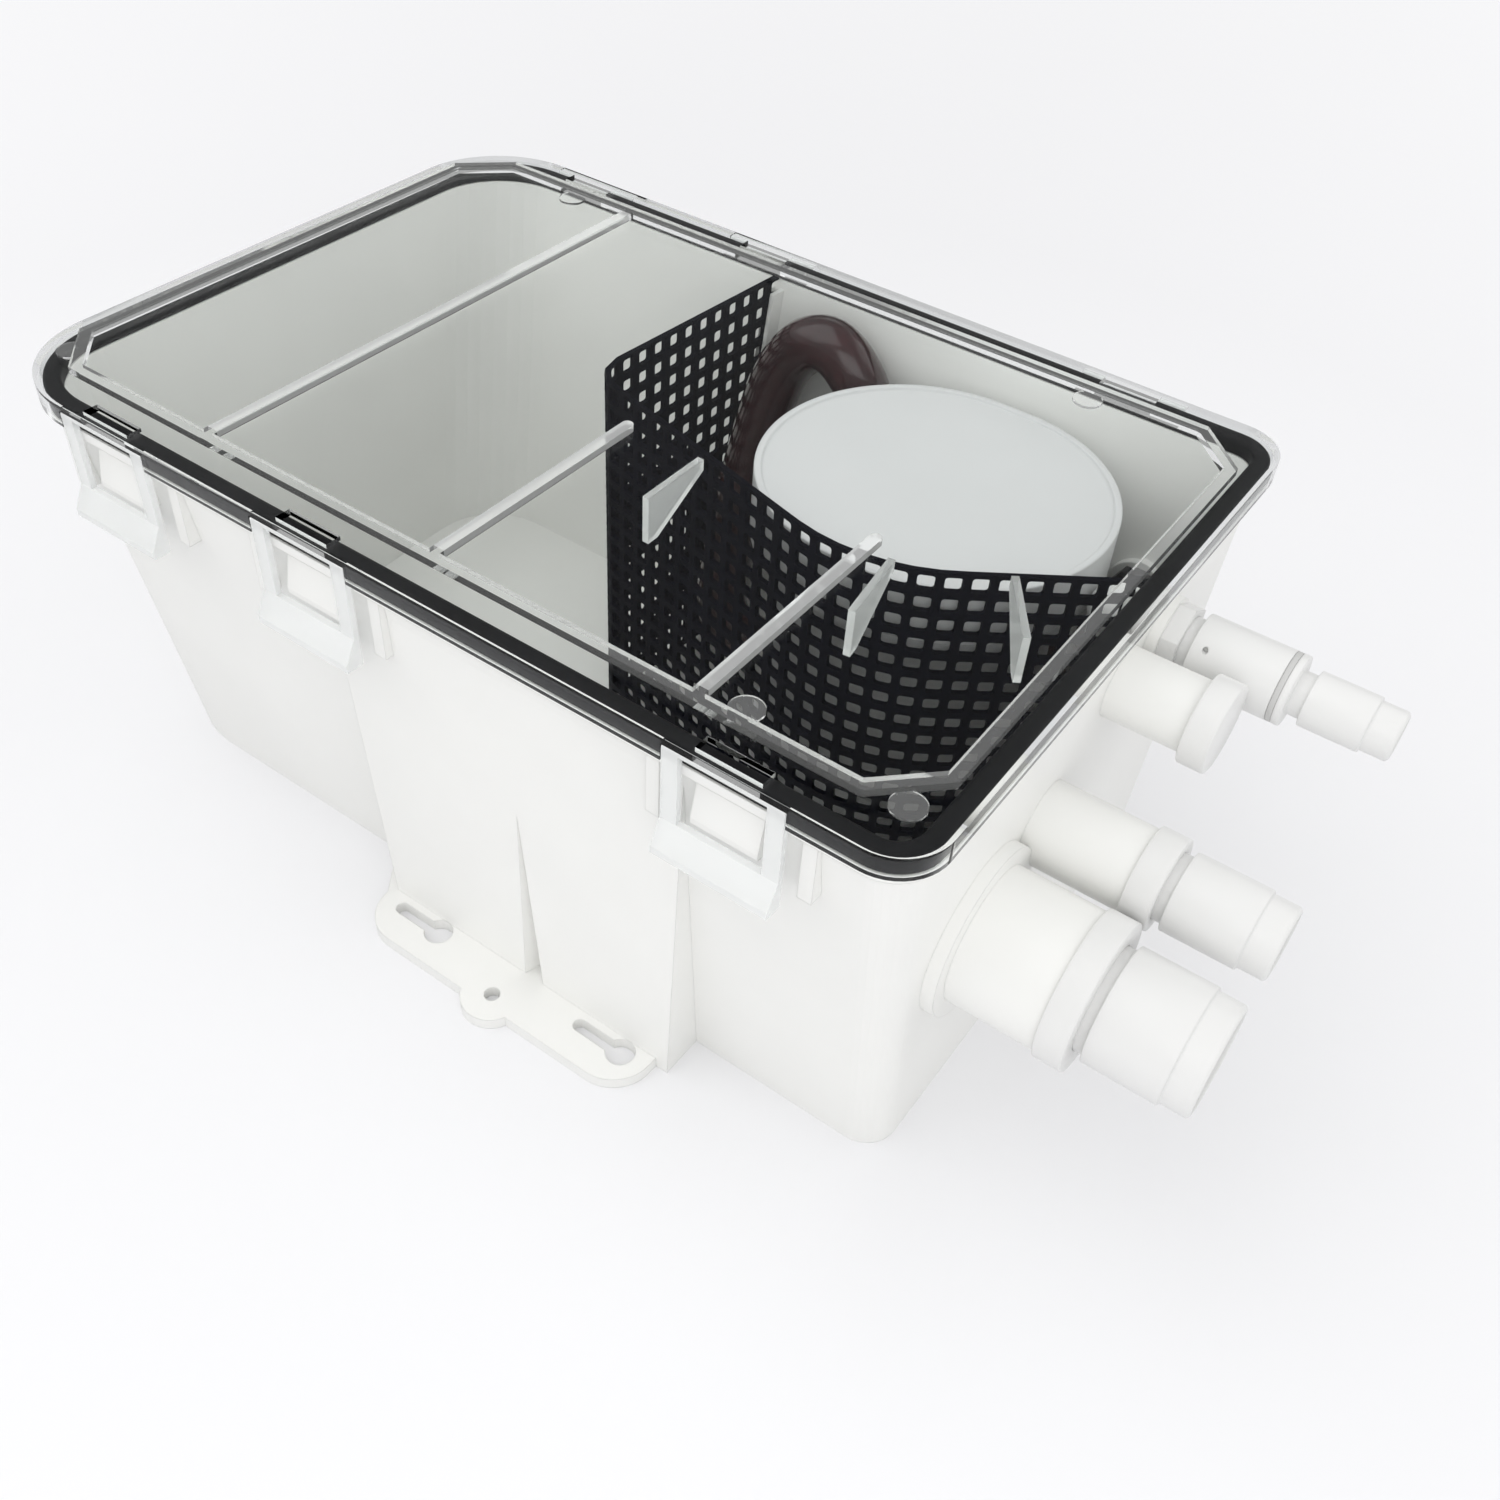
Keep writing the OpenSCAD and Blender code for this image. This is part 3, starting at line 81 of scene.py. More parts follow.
class SumpSizes(bpy.types.PropertyGroup):
    """Sizes of the pieces that are modelled here."""
    mesh_pitch: bpy.props.FloatProperty(
        name="Mesh pitch", description="Distance between the strainer's bars",
        default=0.007, min=0.004, max=0.012, unit="LENGTH")
    mesh_bar: bpy.props.FloatProperty(
        name="Mesh bar", description="Width of the strainer's bars",
        default=0.0024, min=0.001, max=0.004, unit="LENGTH")
    mesh_thickness: bpy.props.FloatProperty(
        name="Mesh thickness", description="Thickness of the strainer's sheet",
        default=0.0016, min=0.001, max=0.003, unit="LENGTH")
    hose_diameter: bpy.props.FloatProperty(
        name="Hose diameter", description="Outside diameter of the discharge hose",
        default=0.018, min=0.014, max=0.02, unit="LENGTH")
    hose_wall: bpy.props.FloatProperty(
        name="Hose wall", description="Wall of the discharge hose",
        default=0.002, min=0.001, max=0.003, unit="LENGTH")
    edge_round: bpy.props.FloatProperty(
        name="Edge rounding", description="Radius of the moulded pieces' edges",
        default=0.0006, min=0.0, max=0.002, unit="LENGTH")


class SumpColours(bpy.types.PropertyGroup):
    """Colours of the finishes."""
    tank: bpy.props.FloatVectorProperty(
        name="Tank", description="White moulding of the tank",
        default=(0.90, 0.90, 0.878), subtype="COLOR", min=0.0, max=1.0)
    fitting: bpy.props.FloatVectorProperty(
        name="Fittings", description="White moulding of the hose fittings",
        default=(0.82, 0.82, 0.81), subtype="COLOR", min=0.0, max=1.0)
    pump: bpy.props.FloatVectorProperty(
        name="Pump", description="Pale moulding of the pump",
        default=(0.72, 0.725, 0.73), subtype="COLOR", min=0.0, max=1.0)
    clear: bpy.props.FloatVectorProperty(
        name="Lid", description="Tint of the clear lid",
        default=(0.97, 0.98, 0.975), subtype="COLOR", min=0.0, max=1.0)
    rubber: bpy.props.FloatVectorProperty(
        name="Rubber", description="Black rubber of the gasket and seals",
        default=(0.008, 0.008, 0.009), subtype="COLOR", min=0.0, max=1.0)
    mesh: bpy.props.FloatVectorProperty(
        name="Strainer", description="Black plastic of the strainer",
        default=(0.0028, 0.0030, 0.0060), subtype="COLOR", min=0.0, max=1.0)
    hose: bpy.props.FloatVectorProperty(
        name="Hose", description="Dark brown of the discharge hose",
        default=(0.032, 0.006, 0.008), subtype="COLOR", min=0.0, max=1.0)
    floor: bpy.props.FloatVectorProperty(
        name="Floor", description="Pale studio floor",
        default=(0.78, 0.78, 0.795), subtype="COLOR", min=0.0, max=1.0)


def sizes():
    return bpy.context.scene.sump_sizes


def colours():
    return bpy.context.scene.sump_colours


# ---------------------------------------------------------------- node helpers

class Finish:
    """A material and its node tree, with short calls for the nodes that the finishes share."""

    def __init__(self, name):
        self.material = bpy.data.materials.new(name)
        self.material.use_nodes = True
        self.tree = self.material.node_tree
        self.shader = self.tree.nodes["Principled BSDF"]
        self.coords = self.node("ShaderNodeTexCoord")

    def node(self, kind, **values):
        made = self.tree.nodes.new(kind)
        for key, value in values.items():
            setattr(made, key, value)
        return made

    def link(self, out_socket, in_socket):
        self.tree.links.new(out_socket, in_socket)

    def set(self, **values):
        for key, value in values.items():
            self.shader.inputs[key.replace("_", " ")].default_value = value

    def noise(self, scale, detail=3.0, roughness=0.5, stretch=None):
        texture = self.node("ShaderNodeTexNoise")
        texture.inputs["Scale"].default_value = scale
        texture.inputs["Detail"].default_value = detail
        texture.inputs["Roughness"].default_value = roughness
        if stretch:
            mapping = self.node("ShaderNodeMapping")
            mapping.inputs["Scale"].default_value = stretch
            self.link(self.coords.outputs["Object"], mapping.inputs["Vector"])
            self.link(mapping.outputs["Vector"], texture.inputs["Vector"])
        else:
            self.link(self.coords.outputs["Object"], texture.inputs["Vector"])
        return texture.outputs["Fac"]

    def ramp(self, factor, stops):
        ramp = self.node("ShaderNodeValToRGB")
        elements = ramp.color_ramp.elements
        while len(elements) < len(stops):
            elements.new(0.5)
        for element, (place, colour) in zip(elements, stops):
            element.position = place
            element.color = colour if len(colour) == 4 else (*colour, 1.0)
        self.link(factor, ramp.inputs["Fac"])
        return ramp.outputs["Color"]

    def spread(self, factor, low, high):
        spread = self.node("ShaderNodeMapRange")
        spread.inputs["To Min"].default_value = low
        spread.inputs["To Max"].default_value = high
        self.link(factor, spread.inputs["Value"])
        return spread.outputs["Result"]

    def paint(self, factor, *stops):
        """Base colour that runs through the stops."""
        self.link(self.ramp(factor, stops), self.shader.inputs["Base Color"])

    def gloss(self, factor, low, high):
        """Roughness that varies between two values."""
        self.link(self.spread(factor, low, high), self.shader.inputs["Roughness"])

    def bump(self, height, strength, distance, rounded=0.0):
        bump = self.node("ShaderNodeBump")
        bump.inputs["Strength"].default_value = strength
        bump.inputs["Distance"].default_value = distance
        self.link(height, bump.inputs["Height"])
        if rounded:
            self.link(self.rounded(rounded), bump.inputs["Normal"])
        self.link(bump.outputs["Normal"], self.shader.inputs["Normal"])

    def rounded(self, radius):
        edge = self.node("ShaderNodeBevel", samples=4)
        edge.inputs["Radius"].default_value = radius
        return edge.outputs["Normal"]


def shade(colour, factor):
    return tuple(min(1.0, value * factor) for value in colour)


# ---------------------------------------------------------------- finishes

# Depth of a moulded skin's grain in metres
SKIN_DEPTH = 0.0002


def moulded_white(name, colour, gloss, texture_scale):
    """White injection moulding: faint clouding, a fine skin and softly rounded edges."""
    finish = Finish(name)
    cloud = finish.noise(11.0, 4.0)
    speck = finish.noise(900.0, 2.0)
    finish.paint(cloud, (0.30, shade(colour, 0.965)), (0.70, shade(colour, 1.02)))
    finish.gloss(cloud, gloss - 0.05, gloss + 0.06)
    finish.set(IOR=1.46, Specular_IOR_Level=0.45)
    finish.bump(speck, 0.10, texture_scale, sizes().edge_round)
    return finish.material


def clear_plastic(name, milk, roughness, raised_painted_highlight=0.0):
    """Clear moulding: glass to the eye that lamps shine through, and milky by a share.

    The lid's raised forms have a milky share of their own: painted highlight for the bright lines
    that their edges catch.
    """
    finish = Finish(name)
    tint = tuple(colours().clear)
    haze = finish.noise(26.0, 3.0)
    finish.paint(haze, (0.3, shade(tint, 0.985)), (0.7, tint))
    finish.gloss(haze, roughness * 0.7, roughness * 1.4)
    finish.set(IOR=1.25, Specular_IOR_Level=0.3)
    if raised_painted_highlight:
        clear_share = finish.spread(lid_relief(finish), 1.0 - milk, 1.0 - raised_painted_highlight)
    else:
        clear_share = finish.spread(haze, 1.0 - milk * 1.1, 1.0 - milk * 0.9)
    finish.link(clear_share, finish.shader.inputs["Transmission Weight"])
    path = finish.node("ShaderNodeLightPath")
    through = finish.node("ShaderNodeMath", operation="MAXIMUM")
    finish.link(path.outputs["Is Shadow Ray"], through.inputs[0])
    finish.link(path.outputs["Is Diffuse Ray"], through.inputs[1])
    passed = finish.node("ShaderNodeBsdfTransparent")
    passed.inputs["Color"].default_value = (*shade(tint, 1.0 - milk * 0.4), 1.0)
    mixed = finish.node("ShaderNodeMixShader")
    finish.link(through.outputs[0], mixed.inputs["Fac"])
    finish.link(finish.shader.outputs["BSDF"], mixed.inputs[1])
    finish.link(passed.outputs["BSDF"], mixed.inputs[2])
    surface = finish.tree.nodes["Material Output"].inputs["Surface"]
    finish.link(mixed.outputs["Shader"], surface)
    return finish.material


# The lid's raised forms, in millimetres from the frame's origin, and the share of milk on its ridge
# and pads;
# the milk on the raised forms is painted highlight for the bright lines that their edges catch
LID_TOP = 142.45
LID_UNDER = 140.1
LID_INSIDE = (140.0, 92.0)
RIB_PLACES = (-77.06, 4.8, 85.2)
RIB_HALF = (1.8, 87.0)
RIDGE_PAINTED_HIGHLIGHT = 0.3


def lid_relief(finish):
    """Mask of the painted highlight: one on the lid's ribs and fins, a share on its ridge and pads,
    and nought elsewhere.
    """
    split = finish.node("ShaderNodeSeparateXYZ")
    finish.link(finish.coords.outputs["Object"], split.inputs["Vector"])

    def test(operation, first, second=0.0):
        made = finish.node("ShaderNodeMath", operation=operation)
        for socket, value in zip(made.inputs, (first, second)):
            if hasattr(value, "is_output"):
                finish.link(value, socket)
            else:
                socket.default_value = value
        return made.outputs[0]

    def within(axis, half):
        return test("LESS_THAN", test("ABSOLUTE", axis), half * MM)

    x, y, z = (split.outputs[axis] for axis in "XYZ")
    raised = test("GREATER_THAN", z, LID_TOP * MM)
    on_rib = 0.0
    for place in RIB_PLACES:
        on_rib = test("ADD", on_rib, within(test("SUBTRACT", x, place * MM), RIB_HALF[0]))
    on_rib = test("MULTIPLY", on_rib, within(y, RIB_HALF[1]))
    raised = test("MULTIPLY", raised, test("MAXIMUM", on_rib, RIDGE_PAINTED_HIGHLIGHT))
    fin = test("LESS_THAN", z, LID_UNDER * MM)
    for axis, half in zip((x, y), LID_INSIDE):
        fin = test("MULTIPLY", fin, within(axis, half))
    return test("MAXIMUM", raised, fin)


def black_rubber():
    """Matt black rubber with a faint bloom."""
    finish = Finish("black_rubber")
    colour = tuple(colours().rubber)
    grain = finish.noise(700.0, 3.0)
    bloom = finish.noise(40.0, 4.0)
    finish.paint(bloom, (0.35, colour), (0.75, shade(colour, 1.6)))
    finish.gloss(bloom, 0.42, 0.58)
    finish.set(Specular_IOR_Level=0.12)
    finish.bump(grain, 0.25, SKIN_DEPTH, sizes().edge_round)
    return finish.material


def black_mesh():
    """Black plastic of the strainer, with hardly any gloss."""
    finish = Finish("black_mesh")
    colour = tuple(colours().mesh)
    grain = finish.noise(420.0, 2.0)
    patch = finish.noise(30.0, 3.0)
    finish.paint(patch, (0.3, colour), (0.75, shade(colour, 1.6)))
    finish.gloss(patch, 0.50, 0.62)
    finish.set(IOR=1.2, Specular_IOR_Level=0.1)
    finish.bump(grain, 0.15, SKIN_DEPTH)
    return finish.material


def brown_hose():
    """Smooth dark rubber hose with darker and redder streaks at random; the redder streaks are
    painted highlight.
    """
    finish = Finish("brown_hose")
    colour = tuple(colours().hose)
    painted_sheen_streak = finish.noise(60.0, 4.0, 0.6)
    finish.paint(painted_sheen_streak, (0.30, shade(colour, 0.55)), (0.55, colour), (0.80, shade(colour, 1.7)))
    finish.gloss(painted_sheen_streak, 0.14, 0.28)
    finish.set(Specular_IOR_Level=0.6, Coat_Weight=0.6, Coat_Roughness=0.08)
    finish.bump(finish.noise(500.0, 2.0), 0.08, SKIN_DEPTH)
    return finish.material


def black_moulding():
    """Black moulding of the cable gland."""
    finish = Finish("black_moulding")
    grain = finish.noise(800.0, 2.0)
    patch = finish.noise(24.0, 3.0)
    finish.paint(patch, (0.3, (0.016, 0.016, 0.018)), (0.75, (0.032, 0.032, 0.035)))
    finish.gloss(patch, 0.38, 0.52)
    finish.bump(grain, 0.15, SKIN_DEPTH, sizes().edge_round)
    return finish.material


def brushed_metal(name, colour, rough, stretch):
    """Metal with fine lines along one way."""
    finish = Finish(name)
    lines = finish.noise(300.0, 4.0, 0.7, stretch)
    finish.paint(lines, (0.3, shade(colour, 0.78)), (0.7, colour))
    finish.gloss(lines, rough - 0.08, rough + 0.10)
    finish.set(Metallic=1.0)
    finish.bump(lines, 0.12, 0.0001, sizes().edge_round * 0.5)
    return finish.material


def dark_magnet():
    """Dull dark grey of the sintered magnets."""
    finish = Finish("dark_magnet")
    grain = finish.noise(500.0, 3.0)
    finish.paint(grain, (0.3, (0.05, 0.05, 0.055)), (0.7, (0.09, 0.09, 0.095)))
    finish.gloss(grain, 0.5, 0.7)
    finish.bump(grain, 0.3, SKIN_DEPTH)
    return finish.material


PALE_RUBBER = (0.60, 0.60, 0.59)
# The pump's body and base take the pump's moulding darkened by this factor: painted shade for the
# shadow behind the strainer
BODY_PAINTED_SHADE = 0.72
OTHER_FINISH = {"outlet_seal": "pale_rubber", "pump_body": "pump_painted_shade", "pump_base": "pump_painted_shade"}
FINISHES = {}


def make_finishes():
    tones = colours()
    FINISHES.update({
        "white_moulding": moulded_white("white_moulding", tuple(tones.tank), 0.40, 0.00025),
        "white_fitting": moulded_white("white_fitting", tuple(tones.fitting), 0.30, 0.00015),
        "pump_white": moulded_white("pump_white", tuple(tones.pump), 0.34, SKIN_DEPTH),
        # pump moulding darkened as painted shade
        "pump_painted_shade": moulded_white("pump_painted_shade", shade(tones.pump, BODY_PAINTED_SHADE), 0.36, SKIN_DEPTH),
        # clear lid, its raised forms milky as painted highlight
        "clear_moulding": clear_plastic("clear_moulding", 0.0, 0.015, 0.38),
        "milky_moulding": clear_plastic("milky_moulding", 0.55, 0.22),
        "black_rubber": black_rubber(),
        "pale_rubber": moulded_white("pale_rubber", PALE_RUBBER, 0.5, SKIN_DEPTH),
        "black_mesh": black_mesh(),
        "brown_hose": brown_hose(),
        "black_moulding": black_moulding(),
        "stainless": brushed_metal("stainless", (0.62, 0.62, 0.61), 0.28, (1.0, 1.0, 14.0)),
        "motor_steel": brushed_metal("motor_steel", (0.45, 0.45, 0.46), 0.36, (1.0, 1.0, 10.0)),
        "dark_magnet": dark_magnet(),
    })


def finish_of(node):
    """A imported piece's finish: one of its own, or else that of its material slot."""
    if node.startswith("latch_"):
        return FINISHES["milky_moulding"]
    return FINISHES[OTHER_FINISH.get(node, SLOTS[node])]


# ---------------------------------------------------------------- modelling helpers

SOLID_ANGLE = math.radians(30)
PIECE_ANGLE = math.radians(35)
TUBE_ANGLE = math.radians(40)
EDGE_ANGLE = math.radians(40)
FLAT_ANGLE = math.radians(1.0)
MERGE_SHEET = 0.00002
MERGE_SOLID = 0.00001


def select_only(piece=None):
    if bpy.context.object and bpy.context.object.mode != "OBJECT":
        bpy.ops.object.mode_set(mode="OBJECT")
    bpy.ops.object.select_all(action="DESELECT")
    if piece:
        piece.select_set(True)
        bpy.context.view_layer.objects.active = piece


def named(name):
    piece = bpy.context.object
    piece.name = name
    piece.data.name = name
    return piece


def apply_modifier(piece, kind, **values):
    select_only(piece)
    modifier = piece.modifiers.new(kind.title(), kind)
    for key, value in values.items():
        setattr(modifier, key, value)
    bpy.ops.object.modifier_apply(modifier=modifier.name)


def dress(piece, slot, body, *nodes):
    piece.data.materials.clear()
    piece.data.materials.append(FINISHES[slot])
    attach(piece, body)
    if nodes:
        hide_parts(*nodes)


# ---------------------------------------------------------------- strainer

# The strainer's path in millimetres: its far end, a tight corner,
# then round the pump to the ports' end
TANK_HALF = (148.2, 99.5)
LEANS = (2.0 / 135.0, 19.0 / 135.0)
RIM_Z = 135.0
INSET = 3.5
ROUND_CENTRE = (74.0, 40.0)
ROUND_R = 54.3
CORNER_R = 12.0
CORNER_X = -15.0
FAR_HEADING = math.radians(-94.4)
NEAR_HEADING = math.radians(-15.0)
END_POINT = (148.2, 26.5)
MESH_LOW = 3.3
MESH_HIGH = 137.7
PATH_STEP = 1.5
ROW_SHARE = 0.98
CORNER_SHARE = 0.33
HOLE_SHARE = 0.6


def strainer_path(step):
    """Points of the strainer's middle line, from the far side to the ports' end."""
    near = (-math.sin(NEAR_HEADING), math.cos(NEAR_HEADING))
    across = near[0] * (ROUND_CENTRE[0] - CORNER_X) + near[1] * ROUND_CENTRE[1]
    corner_y = (across - ROUND_R + CORNER_R) / near[1]
    away = math.hypot(END_POINT[0] - ROUND_CENTRE[0], END_POINT[1] - ROUND_CENTRE[1])
    bearing = math.atan2(END_POINT[1] - ROUND_CENTRE[1], END_POINT[0] - ROUND_CENTRE[0])
    end_heading = bearing + math.asin(ROUND_R / away)
    corner_in = (CORNER_X + CORNER_R * math.sin(FAR_HEADING),
                 corner_y - CORNER_R * math.cos(FAR_HEADING))
    reach = (TANK_HALF[1] - corner_in[1]) / -math.sin(FAR_HEADING)
    points = [(corner_in[0] - reach * math.cos(FAR_HEADING), TANK_HALF[1])]

    def arc(centre, radius, first, last):
        count = max(2, int(radius * abs(last - first) / step))
        for index in range(count + 1):
            heading = first + (last - first) * index / count
            points.append((centre[0] + radius * math.sin(heading),
                           centre[1] - radius * math.cos(heading)))

    arc((CORNER_X, corner_y), CORNER_R, FAR_HEADING, NEAR_HEADING)
    arc(ROUND_CENTRE, ROUND_R, NEAR_HEADING, end_heading)
    points.append(END_POINT)
    return points


def polyline(name, points):
    curve = bpy.data.curves.new(name, "CURVE")
    curve.dimensions = "3D"
    spline = curve.splines.new("POLY")
    spline.points.add(len(points) - 1)
    for place, point in zip(spline.points, points):
        place.co = (point[0] * MM, point[1] * MM, (point[2] if len(point) > 2 else 0.0) * MM, 1.0)
    piece = bpy.data.objects.new(name, curve)
    bpy.context.scene.collection.objects.link(piece)
    return piece


def path_length(points):
    return sum(math.dist(a, b) for a, b in zip(points, points[1:]))


class SUMP_OT_strainer(bpy.types.Operator):
    """Strainer sheet with its real mesh, bent along its path and trimmed to the leaning walls"""
    bl_idname = "sump.strainer"
    bl_label = "Strainer"

    def execute(self, context):
        size = sizes()
        points = strainer_path(PATH_STEP)
        length = path_length(points) * MM
        height = (MESH_HIGH - MESH_LOW) * MM
        columns = round((length - size.mesh_bar) / size.mesh_pitch)
        rows = round((height - size.mesh_bar) / (size.mesh_pitch * ROW_SHARE))
        select_only()
        bpy.ops.mesh.primitive_grid_add(x_subdivisions=columns, y_subdivisions=rows, size=1.0,
                                        rotation=(math.pi / 2, 0.0, 0.0))
        sheet = named("strainer_sheet")
        bpy.ops.object.transform_apply(location=True, rotation=True, scale=True)
        bpy.ops.object.mode_set(mode="EDIT")
        bpy.ops.mesh.select_all(action="SELECT")
        bpy.ops.transform.resize(value=(length - size.mesh_bar, 1.0, height - size.mesh_bar))
        bpy.ops.transform.translate(value=(length / 2, 0.0, MESH_LOW * MM + height / 2))
        bpy.ops.mesh.inset(thickness=size.mesh_bar / 2, use_individual=True, use_boundary=True)
        bpy.ops.object.mode_set(mode="OBJECT")
        bpy.ops.object.mode_set(mode="EDIT")
        bpy.ops.mesh.select_mode(type="FACE")
        bpy.ops.mesh.bevel(offset=size.mesh_bar * CORNER_SHARE, segments=2, affect="VERTICES")
        bpy.ops.object.mode_set(mode="OBJECT")
        inner = (size.mesh_pitch - size.mesh_bar) ** 2 * HOLE_SHARE
        for face in sheet.data.polygons:
            face.select = face.area > inner and len(face.vertices) > 4
        bpy.ops.object.mode_set(mode="EDIT")
        bpy.ops.mesh.delete(type="FACE")
        bpy.ops.mesh.select_mode(type="VERT")
        bpy.ops.mesh.select_all(action="SELECT")
        bpy.ops.mesh.remove_doubles(threshold=MERGE_SHEET)
        bpy.ops.object.mode_set(mode="OBJECT")
        apply_modifier(sheet, "SOLIDIFY", thickness=size.mesh_thickness, offset=0.0)
        line = polyline("strainer_line", points)
        apply_modifier(sheet, "CURVE", object=line, deform_axis="POS_X")
        bpy.data.objects.remove(line)
        for lean, half, axis in ((LEANS[1], TANK_HALF[1], 1), (LEANS[0], TANK_HALF[0], 0)):
            select_only(sheet)
            bpy.ops.object.mode_set(mode="EDIT")
            bpy.ops.mesh.select_all(action="SELECT")
            place = [0.0, 0.0, RIM_Z * MM]
            place[axis] = (half - INSET) * MM
            normal = [0.0, 0.0, -lean]
            normal[axis] = 1.0
            bpy.ops.mesh.bisect(plane_co=place, plane_no=Vector(normal).normalized(), use_fill=True,
                                clear_outer=True, clear_inner=False)
            bpy.ops.object.mode_set(mode="OBJECT")
        bpy.ops.object.mode_set(mode="EDIT")
        bpy.ops.mesh.select_all(action="SELECT")
        bpy.ops.mesh.normals_make_consistent(inside=False)
        bpy.ops.object.mode_set(mode="OBJECT")
        bpy.ops.object.shade_smooth_by_angle(angle=PIECE_ANGLE)
        dress(sheet, "black_mesh", "tank_body", "strainer")
        return {"FINISHED"}


# ---------------------------------------------------------------- hose

# The hose's route in millimetres: points from the barb's tip, from the arch's root
# and from the elbow's tip
BARB_TIP = (7.0, 53.0, 24.3)
BARB_ROUTE = [
    (17, 0, 0), (9, 0, 0), (4.5, 0, 0), (0, 0, 0),
    (-4.5, 0, 0), (-9.5, 0.4, 1.3), (-14, 1.6, 5), (-17, 4, 12),
]
ARCH_ROOT = (21.0, 99.5, 0.0)
ARCH_ROUTE = [
    (-32.3, -38, 47), (-32.3, -30.5, 72), (-31, -22.5, 98), (-28, -18.5, 113.4),
    (-21.5, -17, 123.7), (-13, -16.5, 127.7), (-4.5, -16.5, 124.2), (2.5, -16, 113.9),
    (6.5, -17.5, 97.1), (9.5, -21.5, 78),
    (17, -23.5, 66), (31, -24, 59.9), (51, -24, 58.1), (71, -24, 57), (89, -26, 57),
]
ELBOW_TIP = (135.0, 37.0, 90.0)
ELBOW_ROUTE = [
    (-11, 29, -31), (-3, 17.5, -26.5), (-0.2, 9, -20), (0, 3.2, -14), (0, 0.5, -9),
    (0, 0, -4.5), (0, 0, 0), (0, 0, 5), (0, 0, 14),
]
HOSE_STEPS = 5
HOSE_ROUND = 6


def hose_route():
    """The hose's points, in the order in which it leaves the barb, the arch and the elbow."""
    stretches = ((BARB_TIP, BARB_ROUTE), (ARCH_ROOT, ARCH_ROUTE), (ELBOW_TIP, ELBOW_ROUTE))
    return [Vector(root) + Vector(point) for root, route in stretches for point in route]


def smooth_route(route, steps):
    """Points of a smooth curve through a route."""
    points = []
    last = len(route) - 1
    for index in range(last):
        a, b = Vector(route[max(index - 1, 0)]), Vector(route[index])
        c, d = Vector(route[index + 1]), Vector(route[min(index + 2, last)])
        for step in range(steps):
            t = step / steps
            points.append(0.5 * (2 * b + (c - a) * t + (2 * a - 5 * b + 4 * c - d) * t * t
                                 + (3 * b - a - 3 * c + d) * t ** 3))
    points.append(Vector(route[last]))
    return points


class SUMP_OT_hose(bpy.types.Operator):
    """Discharge hose swept along its route, from the pump's barb to the outlet's elbow"""
    bl_idname = "sump.hose"
    bl_label = "Hose"

    def execute(self, context):
        size = sizes()
        line = polyline("hose_line", smooth_route(hose_route(), HOSE_STEPS))
        line.data.bevel_depth = size.hose_diameter / 2
        line.data.bevel_resolution = HOSE_ROUND
        line.data.use_fill_caps = False
        select_only(line)
        bpy.ops.object.convert(target="MESH")
        hose = named("hose_tube")
        apply_modifier(hose, "SOLIDIFY", thickness=size.hose_wall, offset=-1.0)
        bpy.ops.object.mode_set(mode="EDIT")
        bpy.ops.mesh.select_all(action="SELECT")
        bpy.ops.mesh.normals_make_consistent(inside=False)
        bpy.ops.object.mode_set(mode="OBJECT")
        bpy.ops.object.shade_smooth_by_angle(angle=TUBE_ANGLE)
        dress(hose, "brown_hose", "tank_body", "discharge_hose")
        return {"FINISHED"}


# ---------------------------------------------------------------- pieces with rolled edges

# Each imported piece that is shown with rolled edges, with its edge radius in millimetres,
# and the steps of an edge
ROLL_STEPS = 3
ROLLED = (
    ("gasket", 1.1), ("pump_cap", 1.4),
    ("large_inlet_spigot", 0.5), ("medium_inlet_spigot", 0.5), ("outlet_spigot", 0.5),
    ("small_inlet_cap", 0.6), ("large_inlet_ring", 0.4), ("medium_inlet_ring", 0.4),
    ("large_inlet_seal", 0.3), ("medium_inlet_seal", 0.3), ("small_inlet_seal", 0.3),
    ("outlet_seal", 0.3), ("shaft_seal", 0.3),
)


class SUMP_OT_rolled(bpy.types.Operator):
    """Gasket, seals, pump cap and hose fittings with rolled edges, standing for the plain solids"""
    bl_idname = "sump.rolled"
    bl_label = "Rolled edges"

    def execute(self, context):
        for node, radius in ROLLED:
            piece = rounded_copy(node, node + "_rolled", radius * MM, ROLL_STEPS)
            dress(piece, SLOTS[node], body_of(NODES[node])[0], node)
            piece.data.materials[0] = finish_of(node)
        return {"FINISHED"}


def rounded_copy(node, name, radius, segments):
    """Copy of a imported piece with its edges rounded."""
    piece = bpy.data.objects.new(name, NODES[node].data.copy())
    bpy.context.scene.collection.objects.link(piece)
    select_only(piece)
    bpy.ops.object.mode_set(mode="EDIT")
    bpy.ops.mesh.select_all(action="SELECT")
    bpy.ops.mesh.remove_doubles(threshold=MERGE_SOLID)
    bpy.ops.mesh.dissolve_limited(angle_limit=FLAT_ANGLE)
    bpy.ops.object.mode_set(mode="OBJECT")
    apply_modifier(piece, "BEVEL", width=radius, segments=segments, limit_method="ANGLE",
                   angle_limit=EDGE_ANGLE, harden_normals=False)
    bpy.ops.object.shade_smooth_by_angle(angle=PIECE_ANGLE)
    return piece


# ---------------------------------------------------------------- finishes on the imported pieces

class SUMP_OT_finishes(bpy.types.Operator):
    """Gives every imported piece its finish"""
    bl_idname = "sump.finishes"
    bl_label = "Finishes"

    def execute(self, context):
        make_finishes()
        for name, piece in NODES.items():
            piece.data.materials.clear()
            piece.data.materials.append(finish_of(name))
            select_only(piece)
            bpy.ops.object.shade_smooth_by_angle(angle=SOLID_ANGLE)
        select_only()
        return {"FINISHED"}


# ---------------------------------------------------------------- stage

